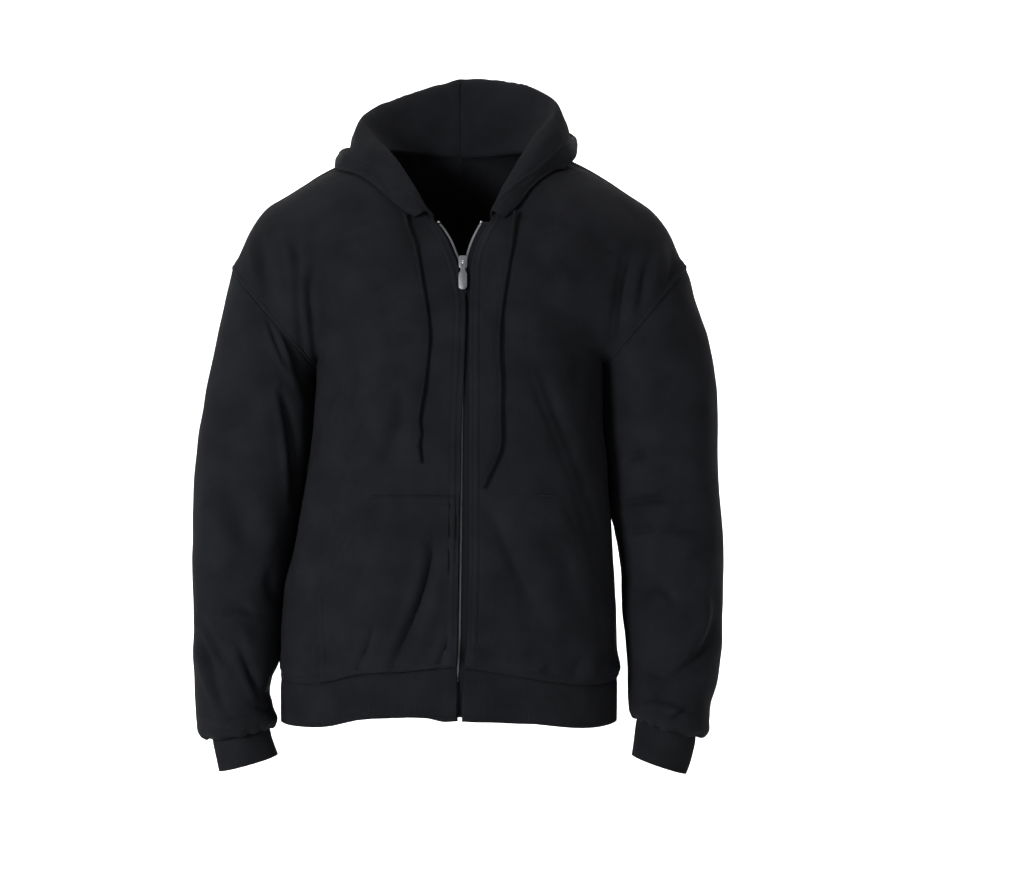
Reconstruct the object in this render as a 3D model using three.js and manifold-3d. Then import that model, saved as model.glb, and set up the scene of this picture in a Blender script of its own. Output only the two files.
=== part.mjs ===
import * as THREE from 'three';
import Module from 'manifold-3d';

// Zip-up hooded top, held open as if worn. Sizes are in millimetres: +X is the wearer's left, -Y the
// front and +Z up. The origin lies on the centre line at shoulder level.

const fleeceWall = 2; // body, sleeve, hood and pocket cloth
const ribWall = 3; // doubled rib knit of the cuffs and the hem band
const tapeWall = 0.8;
const seamGap = 0.3; // space between one piece and the next

const viewX = 66; // eye of the photo, for features read off it
const viewZ = -326;
const viewDistance = 3020;

const underarmZ = -245;
const hemTopRows = 14; // panel rows from the hem seam up to the underarm
const armRows = 10; // panel rows from the underarm up to the shoulder seam
const zipRows = 5; // of those, the rows that still start on the zip edge
const panelColumns = 10;
const armColumns = 20;
const hoodSplits = [2, 2, 3, 3, 2]; // columns from the neck seam to each mark of a station
const hoodRows = 20;

const chainWidth = 2.9; // one row of teeth
const chainDepth = 2.6;
const chainBehind = 3.4; // middle of the teeth behind the middle of the front cloth
const tapeWidth = 13;
const cordDiameter = 4.5;
const cordSides = 8;

// Centre line of the body: height, front face, back face.
const centreProfile = [
  [-664, -126, 118],
  [-603, -131, 127],
  [-540, -135, 126],
  [-450, -138, 123],
  [-360, -138, 123],
  [-280, -137, 127],
  [-200, -132, 128],
  [-143, -121, 124],
  [-105, -110, 118],
  [-60, -88, 106],
  [-20, -74, 92],
  [30, -60, 74],
];

// Side seams: height, wearer's left, wearer's right.
const sideSeams = [
  [-627, 196, 220],
  [-580, 196, 221],
  [-545, 195, 219],
  [-512, 193, 215],
  [-478, 190.5, 206],
  [-440, 188.5, 197.5],
  [-400, 185.5, 191],
  [-360, 183, 185],
  [-320, 179, 180],
  [-245, 179, 176],
];

// Zip: height, middle of the teeth, spread of each row from the middle, cloth edge on each side of it.
const zipLine = [
  [-664, -4, 1.65, 10, -0.6],
  [-608, -0.6, 1.65, 10, -0.6],
  [-571, 1.6, 1.65, 11, -0.6],
  [-474, 3, 1.65, 12, -0.6],
  [-378, 4.2, 1.65, 11, -0.6],
  [-300, 5, 1.65, 10.4, -1],
  [-240, 5.8, 1.65, 9.6, -3.2],
  [-165, 7.4, 1.65, 8, -3],
  [-140, 8.2, 1.65, 8, 2.2],
  [-128, 8, 1.8, 8.6, 5],
  [-118, 7, 3.8, 11, 7.4],
  [-105, 5.6, 7.6, 15.5, 11.6],
  [-91, 5, 12.7, 21.5, 16.8],
  [-77, 4, 20, 29, 24],
  [-65, 2.8, 27.4, 37.5, 31.4],
];

// Height of the rib hem in front: across, height.
const hemDrops = [
  [-210, 52.5],
  [-150, 53.4],
  [-60, 54.6],
  [-35, 58],
  [-15, 64],
  [15, 64],
  [45, 60],
  [65, 57.5],
  [95, 53.6],
  [170, 51.5],
  [210, 51.5],
];

// Hem seam: distance across from the middle, height on the left front, on the right front.
const hemSeam = [
  [0, -603, -603],
  [60, -612, -609],
  [116, -622, -613],
  [160, -628, -624],
  [200, -627, -627],
];

// Arm tubes: outer edge x and z, inner edge x and z, half depth, middle of the depth.
const sleeveLeft = [
  [283, -120, 180, -245, 77, 0],
  [294, -156, 185, -258, 79, 0],
  [309, -206, 184, -285, 78, 1],
  [319, -256, 183, -320, 76, 2],
  [322, -306, 187, -358, 74, 3],
  [321, -356, 190, -398, 72, 3],
  [324, -406, 194, -432, 70, 2],
  [328, -456, 199, -466, 68, 0],
  [329, -506, 203, -505, 65, -4],
  [328, -550, 205, -545, 63, -9],
  [327, -590, 208, -585, 61, -14],
  [321, -631, 211, -622, 59, -20],
  [313, -658, 212, -645, 57, -25],
  [312, -680, 213, -660, 55, -29],
  [312, -694, 214, -671, 51, -31],
  [304, -703, 218, -677, 43, -33],
];
const sleeveRight = [
  [282, -121, 176, -245, 77, 0],
  [290, -156, 181, -259, 79, 0],
  [301, -206, 182, -285, 78, 1],
  [312, -256, 184, -320, 76, 2],
  [321, -306, 189, -360, 74, 3],
  [326, -356, 195, -400, 72, 3],
  [330, -406, 202, -440, 70, 2],
  [330, -456, 210, -478, 68, 0],
  [331, -506, 219.5, -512, 65, -5],
  [330, -545, 223.5, -545, 63, -10],
  [329.5, -581, 225.5, -580, 61, -15],
  [329, -631, 229, -618, 59, -22],
  [327.5, -660, 235, -645, 57, -27],
  [326.5, -681, 234, -664, 54, -30],
  [325, -695, 228, -680, 50, -32],
  [317, -703, 231, -689, 42, -33],
];
const cuffLeft = [
  [295, -700, 223, -677, 33, -34],
  [292, -715, 221, -695, 33, -35],
  [287, -734, 219, -712, 34, -36],
  [282, -747, 217, -725, 34, -37],
];
const cuffRight = [
  [308, -697, 238, -690, 33, -34],
  [305, -712, 236, -702, 33, -35],
  [301, -730, 232, -714, 34, -36],
  [298, -744, 228, -725, 34, -37],
];

// Neckline from the top of the zip edge to the middle of the back; the first point is the zip corner.
const neckline = [
  [34, -86, -60],
  [62, -66, -22],
  [81, -34, 8],
  [90, 4, 26],
  [82, 36, 32],
  [46, 66, 32],
  [0, 74, 30],
];

// Hood from the zip end to the middle of the back, as seen at the distance of the shoulders:
// crest round the neck, slope away from it, lowest fold, roll, face edge (x, y, z each).
const hoodStations = [
  [41, -92, -46, 46, -97, -47, 49, -98, -49, 53, -97, -51, 57, -95, -54],
  [54, -82, -20, 62, -90, -23, 69, -92, -28, 75, -92, -32, 81, -90, -37],
  [71, -64, 8, 84, -70, 6, 96, -69, -2, 106, -65, -8, 116, -60, -15],
  [92, -36, 38, 106, -44, 37, 119, -40, 24, 134, -36, 22, 150, -31, 6],
  [118, 6, 70, 131, 4, 56, 137, 6, 34, 147, 8, 40, 160, 10, 20],
  [108, 50, 90, 124, 68, 60, 132, 88, 4, 147, 96, 28, 150, 96, 44],
  [74, 80, 106, 88, 106, 60, 92, 132, -84, 108, 154, -20, 108, 146, 44],
  [38, 94, 114, 45, 124, 60, 46, 152, -128, 56, 174, -40, 56, 160, 44],
  [0, 98, 118, 0, 129, 60, 0, 160, -140, 0, 180, -46, 0, 164, 42],
];

// How the hood halves differ: share of the way to the middle of the back, rise of the left half and of
// the right half, narrowing of each towards the face edge.
const hoodHalves = [
  [0, 0, 0, 1, 1],
  [0.2, 4, 0, 0.96, 0.985],
  [0.4, 8, -5, 0.925, 0.97],
  [0.5, 8, -9, 0.92, 0.965],
  [0.65, 7, -12, 0.935, 0.965],
  [0.8, 5, -11, 0.95, 0.97],
  [0.92, 2, -5, 0.97, 0.98],
  [1, 0, 0, 1, 1],
];

// Shoulder seam: rise of the round of the shoulder and dip beside the arm hole, left and right.
const shoulderShape = [
  [6, 10],
  [-9, -7],
];

// Patch pocket, foot to top: height, outer edge on the left front, on the right front.
const pocketCorners = [
  [-606, 169, 164],
  [-508, 176, 168],
  [-398, 117, 101],
];

// Main folds as seen: side (1 left), face (-1 front), from x z, to x z, half width, height.
const bodyFolds = [
  [-1, -1, 176, -110, 178, -236, 22, -9],
  [-1, -1, 206, -90, 202, -150, 22, 5],
  [1, -1, 214, -102, 205, -190, 20, -8],
  [1, -1, 182, -70, 178, -150, 24, 5],
  [-1, -1, 118, -282, 164, -416, 22, 4],
  [1, -1, 114, -270, 176, -470, 24, 4],
  [-1, -1, 36, -470, 78, -615, 18, 4],
  [1, -1, 44, -430, 84, -530, 18, 4],
  [1, -1, 170, -560, 120, -610, 20, 4],
  [-1, 1, 190, -130, 178, -300, 24, -7],
  [1, 1, 194, -140, 176, -310, 24, -7],
  [-1, 1, 60, -330, 150, -560, 26, 5],
  [1, 1, 90, -300, 40, -560, 26, 5],
  [1, 1, 60, -600, 150, -560, 20, 5],
  [-1, 1, 70, -600, 160, -575, 20, 5],
];
const sleeveFolds = [
  [-1, -1, 316, -556, 292, -640, 16, -5],
  [-1, -1, 250, -500, 300, -560, 18, 5],
  [-1, -1, 300, -240, 222, -330, 22, -4],
  [1, -1, 208, -412, 264, -406, 14, -5],
  [1, -1, 210, -442, 250, -440, 14, 5],
  [1, -1, 316, -530, 268, -636, 18, -6],
  [1, -1, 296, -230, 230, -330, 22, -4],
  [-1, 1, 310, -400, 226, -450, 18, 5],
  [-1, 1, 308, -470, 240, -430, 18, -5],
  [-1, 1, 316, -600, 250, -640, 18, 5],
  [1, 1, 310, -390, 210, -440, 18, 5],
  [1, 1, 306, -470, 220, -420, 18, -5],
  [1, 1, 308, -600, 236, -636, 18, 5],
];

// Free ends of the cord, from under the hood edge to the tip.
const cordRouteLeft = [
  [69.5, -97.5, -55],
  [67.8, -107, -73],
  [65, -119, -98],
  [59.5, -128.8, -131],
  [52, -134.6, -181],
  [50, -137.4, -222],
  [52, -139.5, -262],
  [51.5, -141, -301],
  [52, -141.4, -335],
  [45.5, -142.3, -356],
  [37.5, -142.8, -373],
  [30, -143.1, -389],
];
const cordRouteRight = [
  [-64, -97, -58],
  [-58, -110.5, -80],
  [-50, -120, -101],
  [-43, -130.8, -141],
  [-34.5, -135.2, -200],
  [-39, -139.1, -261],
  [-45.5, -140.3, -303],
  [-44, -140.7, -324],
  [-46.5, -141, -340],
  [-43, -141.3, -359],
];

// Slider and pull tab.
const sliderZ = -118;
const sliderLength = 16;
const sliderWidth = 10;
const sliderTilt = -0.3;
const plateDepth = 1.2;
const bridgeInside = 1.4;
const bridgeOutside = 2.4;
const bridgeWidth = 1.6;
const pinForward = 4.6; // bar of the tab in front of the middle of the teeth
const pinBelow = 1.5; // and below the middle of the slider
const tabLength = 35;
const tabWidth = 10;
const tabDepth = 1.5;
const tabBar = 1.6;
const tabTilt = -0.34;

const clothColour = 0x17181c;
const ribColour = 0x141519;
const tapeColour = 0x101218;
const metalColour = 0xb9bbbf;
const cordColour = 0x0f1014;

function vec(x, y, z) {
  return new THREE.Vector3(x, y, z);
}

function sightPoint(x, y, z) {
  const near = 1 + y / viewDistance;
  return vec(viewX + (x - viewX) * near, y, viewZ + (z - viewZ) * near);
}

function between(a, b, f) {
  return a + (b - a) * f;
}

// All columns of a table at a place between its rows, on a smooth curve through the rows.
function smoothRow(rows, at) {
  const last = rows.length - 1;
  const k = Math.max(0, Math.min(Math.floor(at), last - 1));
  const f = at - k;
  const p = [-1, 0, 1, 2].map((step) => rows[Math.max(0, Math.min(last, k + step))]);
  return p[1].map((_, i) => {
    const [a, b, c, d] = p.map((row) => row[i]);
    const bend = 2 * a - 5 * b + 4 * c - d + (3 * b - a - 3 * c + d) * f;
    return b + 0.5 * f * (c - a + f * bend);
  });
}

// Columns of a table whose first column rises or falls steadily, at one value of that column.
function lookUp(rows, key) {
  const rising = rows[rows.length - 1][0] > rows[0][0];
  let k = 0;
  while (k < rows.length - 2 && (rising ? rows[k + 1][0] < key : rows[k + 1][0] > key)) {
    k += 1;
  }
  const f = (key - rows[k][0]) / (rows[k + 1][0] - rows[k][0]);
  return smoothRow(rows, k + Math.max(0, Math.min(1, f)));
}

// The points of a line spread again at even distances.
function spreadEvenly(points, count) {
  const run = [0];
  for (let i = 1; i < points.length; i += 1) {
    run.push(run[i - 1] + points[i].distanceTo(points[i - 1]));
  }
  const total = run[run.length - 1];
  const out = [];
  let k = 0;
  for (let i = 0; i <= count; i += 1) {
    const want = (total * i) / count;
    while (k < run.length - 2 && run[k + 1] < want) {
      k += 1;
    }
    const f = (want - run[k]) / (run[k + 1] - run[k]);
    out.push(points[k].clone().lerp(points[k + 1], Math.min(1, f)));
  }
  return out;
}

function zipAt(z) {
  const [, middle, spread, edgeLeft, edgeRight] = lookUp(zipLine, z);
  return { middle, spread, edgeLeft, edgeRight };
}

function centreY(z, face) {
  const [, front, back] = lookUp(centreProfile, z);
  return face < 0 ? front : back;
}

function zipEdgeX(side, z) {
  const zip = zipAt(z);
  return side > 0 ? zip.middle + zip.edgeLeft : zip.middle - zip.edgeRight;
}

// Arm hole and arm tube: a point of ring number k at an angle, 0 outside, a quarter turn in front.
function armPoint(side, table, k, angle) {
  const [outX, outZ, inX, inZ, depth, midY] = smoothRow(table, k);
  const round = between(2, 2.3, Math.min(1, k / 4));
  const c = Math.sign(Math.cos(angle)) * Math.abs(Math.cos(angle)) ** (2 / round);
  const s = Math.sign(Math.sin(angle)) * Math.abs(Math.sin(angle)) ** (2 / round);
  const x = (outX + inX) / 2 + (c * (outX - inX)) / 2;
  const z = (outZ + inZ) / 2 + (c * (outZ - inZ)) / 2;
  const mid = sightPoint(side * x, midY, z);
  mid.y = midY - s * depth;
  return mid;
}

function sleeveTable(side) {
  return side > 0 ? sleeveLeft : sleeveRight;
}

// Direction of the wall at the arm hole, the same for the body and the sleeve.
function armLean(side, angle) {
  const [outX, outZ, inX, inZ] = sleeveTable(side)[0];
  const across = vec(side * (outX - inX), 0, outZ - inZ).normalize();
  const lean = across.multiplyScalar(Math.cos(angle));
  lean.y -= Math.sin(angle);
  lean.x += (side * (1 - Math.cos(angle))) / 2;
  return lean.normalize();
}

function necklineRows(side) {
  const corner = [side * zipEdgeX(side, -65), -86.5, -62];
  return [corner, ...neckline.slice(1)];
}

function necklinePoint(side, at) {
  const [x, y, z] = smoothRow(necklineRows(side), at);
  return vec(side * x, y, z);
}

// Corner number i of the neck seam, from the zip (0) to the middle of the back.
function neckCorner(side, i) {
  const count = 2 * (armRows - zipRows);
  return necklinePoint(side, ((neckline.length - 1) * i) / count);
}

function neckLean(point) {
  const flat = vec(point.x, point.y + 5, 0).normalize();
  return flat.setZ(0.6).normalize();
}

function hemZ(side, x) {
  const [, left, right] = lookUp(hemSeam, Math.min(200, Math.abs(x)));
  return side > 0 ? left : right;
}

// Half of the front or of the back: rows climb from the hem, columns run from the middle to the side.
function halfPanel(side, face) {
  const rows = [];
  const leans = new Map();
  for (let r = 0; r <= hemTopRows + armRows; r += 1) {
    const low = Math.min(1, r / hemTopRows);
    const high = Math.max(0, (r - hemTopRows) / armRows);
    const angle = Math.PI * (1 - high);
    let inner;
    let outer;
    let round = between(2.7, 2.4, low);
    let puff = 0;
    if (r <= hemTopRows) {
      const z = between(face < 0 ? -603 : -626, -200, low);
      inner = vec(face < 0 ? zipEdgeX(side, z) : 0, centreY(z, face), z);
      const outZ = between(-627, underarmZ, low);
      const [, left, right] = lookUp(sideSeams, outZ);
      outer = vec(side * (side > 0 ? left : right), 0, outZ);
      if (r === hemTopRows) {
        outer = armPoint(side, sleeveTable(side), 0, Math.PI);
      }
    } else {
      const up = r - hemTopRows;
      if (up <= zipRows) {
        const z = between(-200, face < 0 ? -65 : 30, up / zipRows);
        inner = vec(face < 0 ? zipEdgeX(side, z) : 0, centreY(z, face), z);
      }
      if (up >= zipRows) {
        const f = (up - zipRows) / (armRows - zipRows);
        inner = necklinePoint(side, face < 0 ? f * 3 : 6 - f * 3);
      }
      outer = armPoint(side, sleeveTable(side), 0, angle);
      outer.y *= -face;
      round = between(2.2, 1.5, high);
      puff = face * 16 * Math.sin(Math.PI * Math.min(1, high * 1.05)) ** 0.8;
    }
    const line = [];
    for (let i = 0; i <= 60; i += 1) {
      const turn = (i / 60) * (Math.PI / 2);
      const s = Math.sin(turn) ** (2 / round);
      const c = Math.cos(turn) ** (2 / round);
      const x = between(inner.x, outer.x, s);
      const y = between(outer.y, inner.y, c) + puff * Math.sin(Math.PI * s);
      line.push(vec(x, y, between(outer.z, inner.z, c)));
    }
    const row = spreadEvenly(line, panelColumns);
    const share = (p) => Math.max(0, Math.min(1, (p.x - inner.x) / (outer.x - inner.x)));
    if (r <= hemTopRows && face < 0) {
      row.forEach((p) => {
        const across = (1 - share(p) ** round) ** (1 / round);
        p.z += (hemZ(side, p.x) - between(-627, -603, across)) * (1 - low) ** 2;
      });
    }
    if (r > hemTopRows) {
      const [full, dip] = shoulderShape.map(([left, right]) => (side > 0 ? left : right));
      row.forEach((p) => {
        const s = share(p);
        const bump = full * Math.exp(-(((s - 0.79) / 0.12) ** 2));
        const hollow = dip * Math.exp(-(((s - 0.96) / 0.05) ** 2)) * Math.min(1, 30 * (1 - s));
        p.z += (bump * Math.min(1, 12 * (1 - s)) + hollow) * high ** 4;
      });
    }
    const end = row[panelColumns];
    if (r === 0) {
      row.forEach((p) => {
        p.z += seamGap;
      });
    }
    if (r <= hemTopRows) {
      end.y += (face * seamGap) / 2;
      leans.set(`${r},${panelColumns}`, vec(side, 0, 0));
    } else if (high === 1) {
      row.forEach((p, c) => {
        p.y += (face * seamGap) / 2;
        const a = row[Math.max(0, c - 1)];
        const b = row[Math.min(panelColumns, c + 1)];
        leans.set(`${r},${c}`, vec(side * (a.z - b.z), 0, Math.abs(b.x - a.x)).normalize());
      });
    }
    if (r >= hemTopRows) {
      leans.set(`${r},${panelColumns}`, armLean(side, angle).multiply(vec(1, -face, 1)));
    }
    if (high * armRows >= zipRows) {
      leans.set(`${r},0`, neckLean(row[0]));
    }
    rows.push(row);
  }
  rows[0].forEach((p, c) => {
    leans.set(`0,${c}`, hemLean(rows[0], c));
  });
  return { rows, leans, flip: side * face > 0 };
}

function hemLean(row, c) {
  if (c === row.length - 1) {
    return vec(Math.sign(row[c].x), 0, 0);
  }
  const a = row[Math.max(0, c - 1)];
  const b = row[c + 1];
  const across = vec(b.x - a.x, b.y - a.y, 0).normalize();
  const lean = vec(across.y, -across.x, 0);
  return lean.dot(vec(row[c].x, row[c].y, 0)) < 0 ? lean.negate() : lean;
}

// Triangles and wall directions for a grid of points; points at the same place are shared.
function sheetOf(grids) {
  const sheet = { points: [], faces: [], leans: new Map(), places: new Map() };
  for (const grid of grids) {
    const { rows, leans, flip, ring } = grid;
    const ids = rows.map((row, r) => row.map((p, c) => {
      const key = [p.x, p.y, p.z].map((v) => v.toFixed(4)).join();
      if (!sheet.places.has(key)) {
        sheet.places.set(key, sheet.points.length);
        sheet.points.push(p.clone());
      }
      const id = sheet.places.get(key);
      if (leans?.has(`${r},${c}`)) {
        sheet.leans.set(id, leans.get(`${r},${c}`));
      }
      return id;
    }));
    const wide = rows[0].length;
    for (let r = 0; r + 1 < rows.length; r += 1) {
      for (let c = 0; c < (ring ? wide : wide - 1); c += 1) {
        const d = (c + 1) % wide;
        const [a, b, e, f] = [ids[r][c], ids[r][d], ids[r + 1][d], ids[r + 1][c]];
        const split = sheet.points[a].distanceTo(sheet.points[e]) <= sheet.points[b].distanceTo(sheet.points[f]);
        const pair = split ? [[a, b, e], [a, e, f]] : [[a, b, f], [b, e, f]];
        pair.forEach((t) => sheet.faces.push(flip ? [t[0], t[2], t[1]] : t));
      }
    }
    grid.ids = ids;
  }
  return sheet;
}

function sheetNormals(sheet) {
  const normals = sheet.points.map(() => vec(0, 0, 0));
  const p = sheet.points;
  for (const [a, b, c] of sheet.faces) {
    const n = p[b].clone().sub(p[a]).cross(p[c].clone().sub(p[a]));
    [a, b, c].forEach((i) => normals[i].add(n));
  }
  normals.forEach((n, i) => (sheet.leans.has(i) ? n.copy(sheet.leans.get(i)) : n.normalize()));
  return normals;
}

// Edges that belong to one triangle only.
function openEdges(sheet) {
  const seen = new Set(sheet.faces.flatMap(([a, b, c]) => [`${a},${b}`, `${b},${c}`, `${c},${a}`]));
  const open = [];
  for (const [a, b, c] of sheet.faces) {
    [[a, b], [b, c], [c, a]].forEach(([i, j]) => {
      if (!seen.has(`${j},${i}`)) {
        open.push([i, j]);
      }
    });
  }
  return open;
}

// Raise or press the sheet along soft folds; the outline of the sheet stays where it is.
function foldSheet(sheet, folds) {
  const rim = new Set(openEdges(sheet).flat());
  const normals = sheetNormals(sheet);
  sheet.points.forEach((p, i) => {
    if (rim.has(i)) {
      return;
    }
    let rise = 0;
    for (const [side, face, x1, z1, x2, z2, wide, height] of folds) {
      const from = sightPoint(side * x1, p.y, z1);
      const to = sightPoint(side * x2, p.y, z2);
      const along = to.clone().sub(from);
      const f = Math.max(0, Math.min(1, p.clone().sub(from).dot(along) / along.lengthSq()));
      const away = from.addScaledVector(along, f).distanceTo(p);
      rise += height * Math.exp(-((away / wide) ** 2)) * Math.max(0, normals[i].y * face);
    }
    p.addScaledVector(normals[i], rise);
  });
  return sheet;
}

// Closed cloth wall: the sheet moved half the wall out and half in, its open edges shut.
function wallGeometry(sheet, wall, shift = 0) {
  const normals = sheetNormals(sheet);
  const count = sheet.points.length;
  const position = new Float32Array(count * 6);
  sheet.points.forEach((p, i) => {
    p.clone().addScaledVector(normals[i], shift + wall / 2).toArray(position, i * 3);
    p.clone().addScaledVector(normals[i], shift - wall / 2).toArray(position, (count + i) * 3);
  });
  const index = sheet.faces.flatMap(([a, b, c]) => [a, b, c, c + count, b + count, a + count]);
  openEdges(sheet).forEach(([a, b]) => {
    index.push(b, a, a + count, b, a + count, b + count);
  });
  const geometry = new THREE.BufferGeometry();
  geometry.setAttribute('position', new THREE.BufferAttribute(position, 3));
  geometry.setIndex(index);
  return geometry;
}

function makeNode(name, geometry, colour, roughness, metalness = 0) {
  const shown = geometry.getAttribute('normal') ? geometry : geometry.clone();
  shown.computeVertexNormals();
  const mesh = new THREE.Mesh(shown, new THREE.MeshStandardMaterial({ color: colour, roughness, metalness }));
  mesh.name = name;
  return mesh;
}

function makeBodyPanels() {
  const frontLeft = sheetOf([halfPanel(1, -1)]);
  const frontRight = sheetOf([halfPanel(-1, -1)]);
  const backHalves = [halfPanel(1, 1), halfPanel(-1, 1)];
  backHalves.forEach(({ rows, leans }) => {
    for (let r = 0; r < hemTopRows + zipRows; r += 1) {
      rows[r][0].x = 0;
      leans.delete(`${r},0`);
    }
    leans.set('0,0', vec(0, 1, 0));
  });
  const back = sheetOf(backHalves);
  return [frontLeft, frontRight, back].map((sheet) => foldSheet(sheet, bodyFolds));
}

function sleeveSheet(side) {
  const table = sleeveTable(side);
  const steps = 21;
  const rows = [];
  const leans = new Map();
  for (let k = 0; k <= steps; k += 1) {
    const at = ((table.length - 1) * k) / steps;
    const row = [];
    for (let c = 0; c < armColumns; c += 1) {
      const angle = (2 * Math.PI * c) / armColumns;
      row.push(armPoint(side, table, at, angle));
      if (k === 0) {
        leans.set(`0,${c}`, armLean(side, angle));
      }
    }
    rows.push(row);
  }
  const [outX, outZ, inX, inZ] = table[0];
  const down = vec(side * (inZ - outZ), 0, -(inX - outX)).normalize().multiplyScalar(-1.3 * seamGap);
  rows[0].forEach((p) => p.add(down));
  // the sleeve bottom turns in under itself to the top of the cuff
  const turned = [];
  for (let c = 0; c < armColumns; c += 1) {
    const angle = (2 * Math.PI * c) / armColumns;
    turned.push(cuffSeamPoint(side, angle));
    leans.set(`${steps + 1},${c}`, cuffLean(side, angle));
  }
  rows.push(turned);
  return foldSheet(sheetOf([{ rows, leans, flip: side < 0, ring: true }]), sleeveFolds);
}

function cuffTable(side) {
  return side > 0 ? cuffLeft : cuffRight;
}

function cuffLean(side, angle) {
  const [outX, outZ, inX, inZ] = cuffTable(side)[0];
  const across = vec(side * (outX - inX), 0, outZ - inZ).normalize();
  const lean = across.multiplyScalar(Math.cos(angle));
  lean.y -= Math.sin(angle);
  lean.z -= 0.8;
  return lean.normalize();
}

// End of the sleeve cloth, just above and round the top of the cuff.
function cuffSeamPoint(side, angle) {
  const lean = cuffLean(side, angle);
  const flat = vec(lean.x, lean.y, 0).normalize();
  const point = armPoint(side, cuffTable(side), 0, angle);
  return point.addScaledVector(flat, 1.2 * seamGap).add(vec(0, 0, seamGap));
}

function cuffSheet(side) {
  const table = cuffTable(side);
  const steps = 3;
  const rows = [];
  const leans = new Map();
  for (let k = 0; k <= steps; k += 1) {
    const row = [];
    for (let c = 0; c < armColumns; c += 1) {
      const angle = (2 * Math.PI * c) / armColumns;
      row.push(armPoint(side, table, ((table.length - 1) * k) / steps, angle));
      if (k === 0) {
        leans.set(`0,${c}`, cuffLean(side, angle));
      }
    }
    rows.push(row);
  }
  return sheetOf([{ rows, leans, flip: side < 0, ring: true }]);
}

// Top of the hem band from the left zip edge round the back to the right zip edge.
function hemTop() {
  const halves = [halfPanel(1, -1), halfPanel(1, 1), halfPanel(-1, 1), halfPanel(-1, -1)];
  const top = [];
  halves.forEach(({ rows }, h) => {
    const row = rows[0].map((p) => p.clone().setZ(p.z - seamGap));
    if (h === 0 || h === 2) {
      top.push(...row.slice(0, -1));
    } else {
      row.reverse();
      top.push(...(h === 1 ? row.slice(0, -1) : row));
    }
  });
  return top;
}

function makeHemBand() {
  const top = hemTop();
  const sides = [panelColumns, 3 * panelColumns];
  sides.forEach((c) => {
    top[c].y = 0;
  });
  top[2 * panelColumns].x = 0;
  const steps = 3;
  const rows = [];
  const leans = new Map();
  for (let k = 0; k <= steps; k += 1) {
    const f = k / steps;
    rows.push(top.map((p, c) => {
      const ends = c === 0 || c === top.length - 1;
      const drop = p.y < 0 ? lookUp(hemDrops, p.x)[1] : 60 - 8 * (p.x / 205) ** 2;
      const q = vec(p.x * between(1, 0.995, f), p.y * between(1, 0.965, f), p.z - drop * f);
      if (ends) {
        q.x = zipEdgeX(Math.sign(c === 0 ? 1 : -1), q.z);
      }
      return q;
    }));
  }
  top.forEach((p, c) => {
    const a = top[Math.max(0, c - 1)];
    const b = top[Math.min(top.length - 1, c + 1)];
    const across = vec(b.x - a.x, b.y - a.y, 0).normalize();
    const lean = vec(across.y, -across.x, 0);
    leans.set(`0,${c}`, sides.includes(c) ? vec(Math.sign(p.x), 0, 0) : lean);
  });
  return sheetOf([{ rows, leans, flip: true }]);
}

// Hood half: a row of cloth from the neck seam over the crest, down into the fold and up to the face edge.
function hoodSheet(side, panels) {
  const rows = [];
  const leans = new Map();
  const stations = hoodStations.length - 1;
  for (let r = 0; r <= hoodRows; r += 1) {
    const f = r / hoodRows;
    const low = neckCorner(side, Math.floor(r / 2)).lerp(neckCorner(side, Math.ceil(r / 2)), 0.5);
    const lean = neckLean(low);
    const flat = vec(lean.x, lean.y, 0).normalize();
    const rise = flat.multiplyScalar(-0.6).add(vec(0, 0, 1)).normalize();
    const table = smoothRow(hoodStations, stations * f);
    const [, liftLeft, liftRight, tuckLeft, tuckRight] = lookUp(hoodHalves, f);
    const [lift, tuck] = side > 0 ? [liftLeft, tuckLeft] : [liftRight, tuckRight];
    const marks = [low.clone().addScaledVector(rise, 1.2 * seamGap)];
    for (let i = 0; i < 5; i += 1) {
      const [x, y, z] = table.slice(i * 3, i * 3 + 3);
      marks.push(sightPoint(side * x * (i > 2 ? tuck : 1), y, z + (i === 2 && f > 0.6 ? 0 : lift)));
    }
    const places = hoodSplits.flatMap((count, k) => Array.from({ length: count }, (_, i) => k + i / count));
    const row = [...places, hoodSplits.length].map((at) => vec(...smoothRow(marks.map((p) => p.toArray()), at)));
    leans.set(`${r},0`, lean);
    if (r === hoodRows) {
      row.forEach((p, c) => {
        p.x = (side * seamGap) / 2;
        const a = row[Math.max(0, c - 1)];
        const b = row[Math.min(row.length - 1, c + 1)];
        leans.set(`${r},${c}`, c ? vec(0, b.z - a.z, a.y - b.y).normalize() : lean);
      });
    }
    rows.push(row);
  }
  const sheet = sheetOf([{ rows, leans, flip: side > 0 }]);
  restOn(sheet, panels, 1 + fleeceWall + seamGap);
  return sheet;
}

// How far a point has to move to lie at least so far outside a panel.
function pushFrom(panel, p, need) {
  const triangle = new THREE.Triangle();
  const near = vec(0, 0, 0);
  const normal = vec(0, 0, 0);
  const out = vec(0, 0, 0);
  let best = 4 * need;
  for (const [a, b, c] of panel.faces) {
    triangle.set(panel.points[a], panel.points[b], panel.points[c]);
    triangle.closestPointToPoint(p, near);
    const away = near.distanceTo(p);
    if (away < best) {
      best = away;
      triangle.getNormal(normal);
      const height = normal.dot(p.clone().sub(near)) < 0 ? -away : away;
      out.copy(normal).multiplyScalar(Math.max(0, need - height));
    }
  }
  return out;
}

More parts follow.
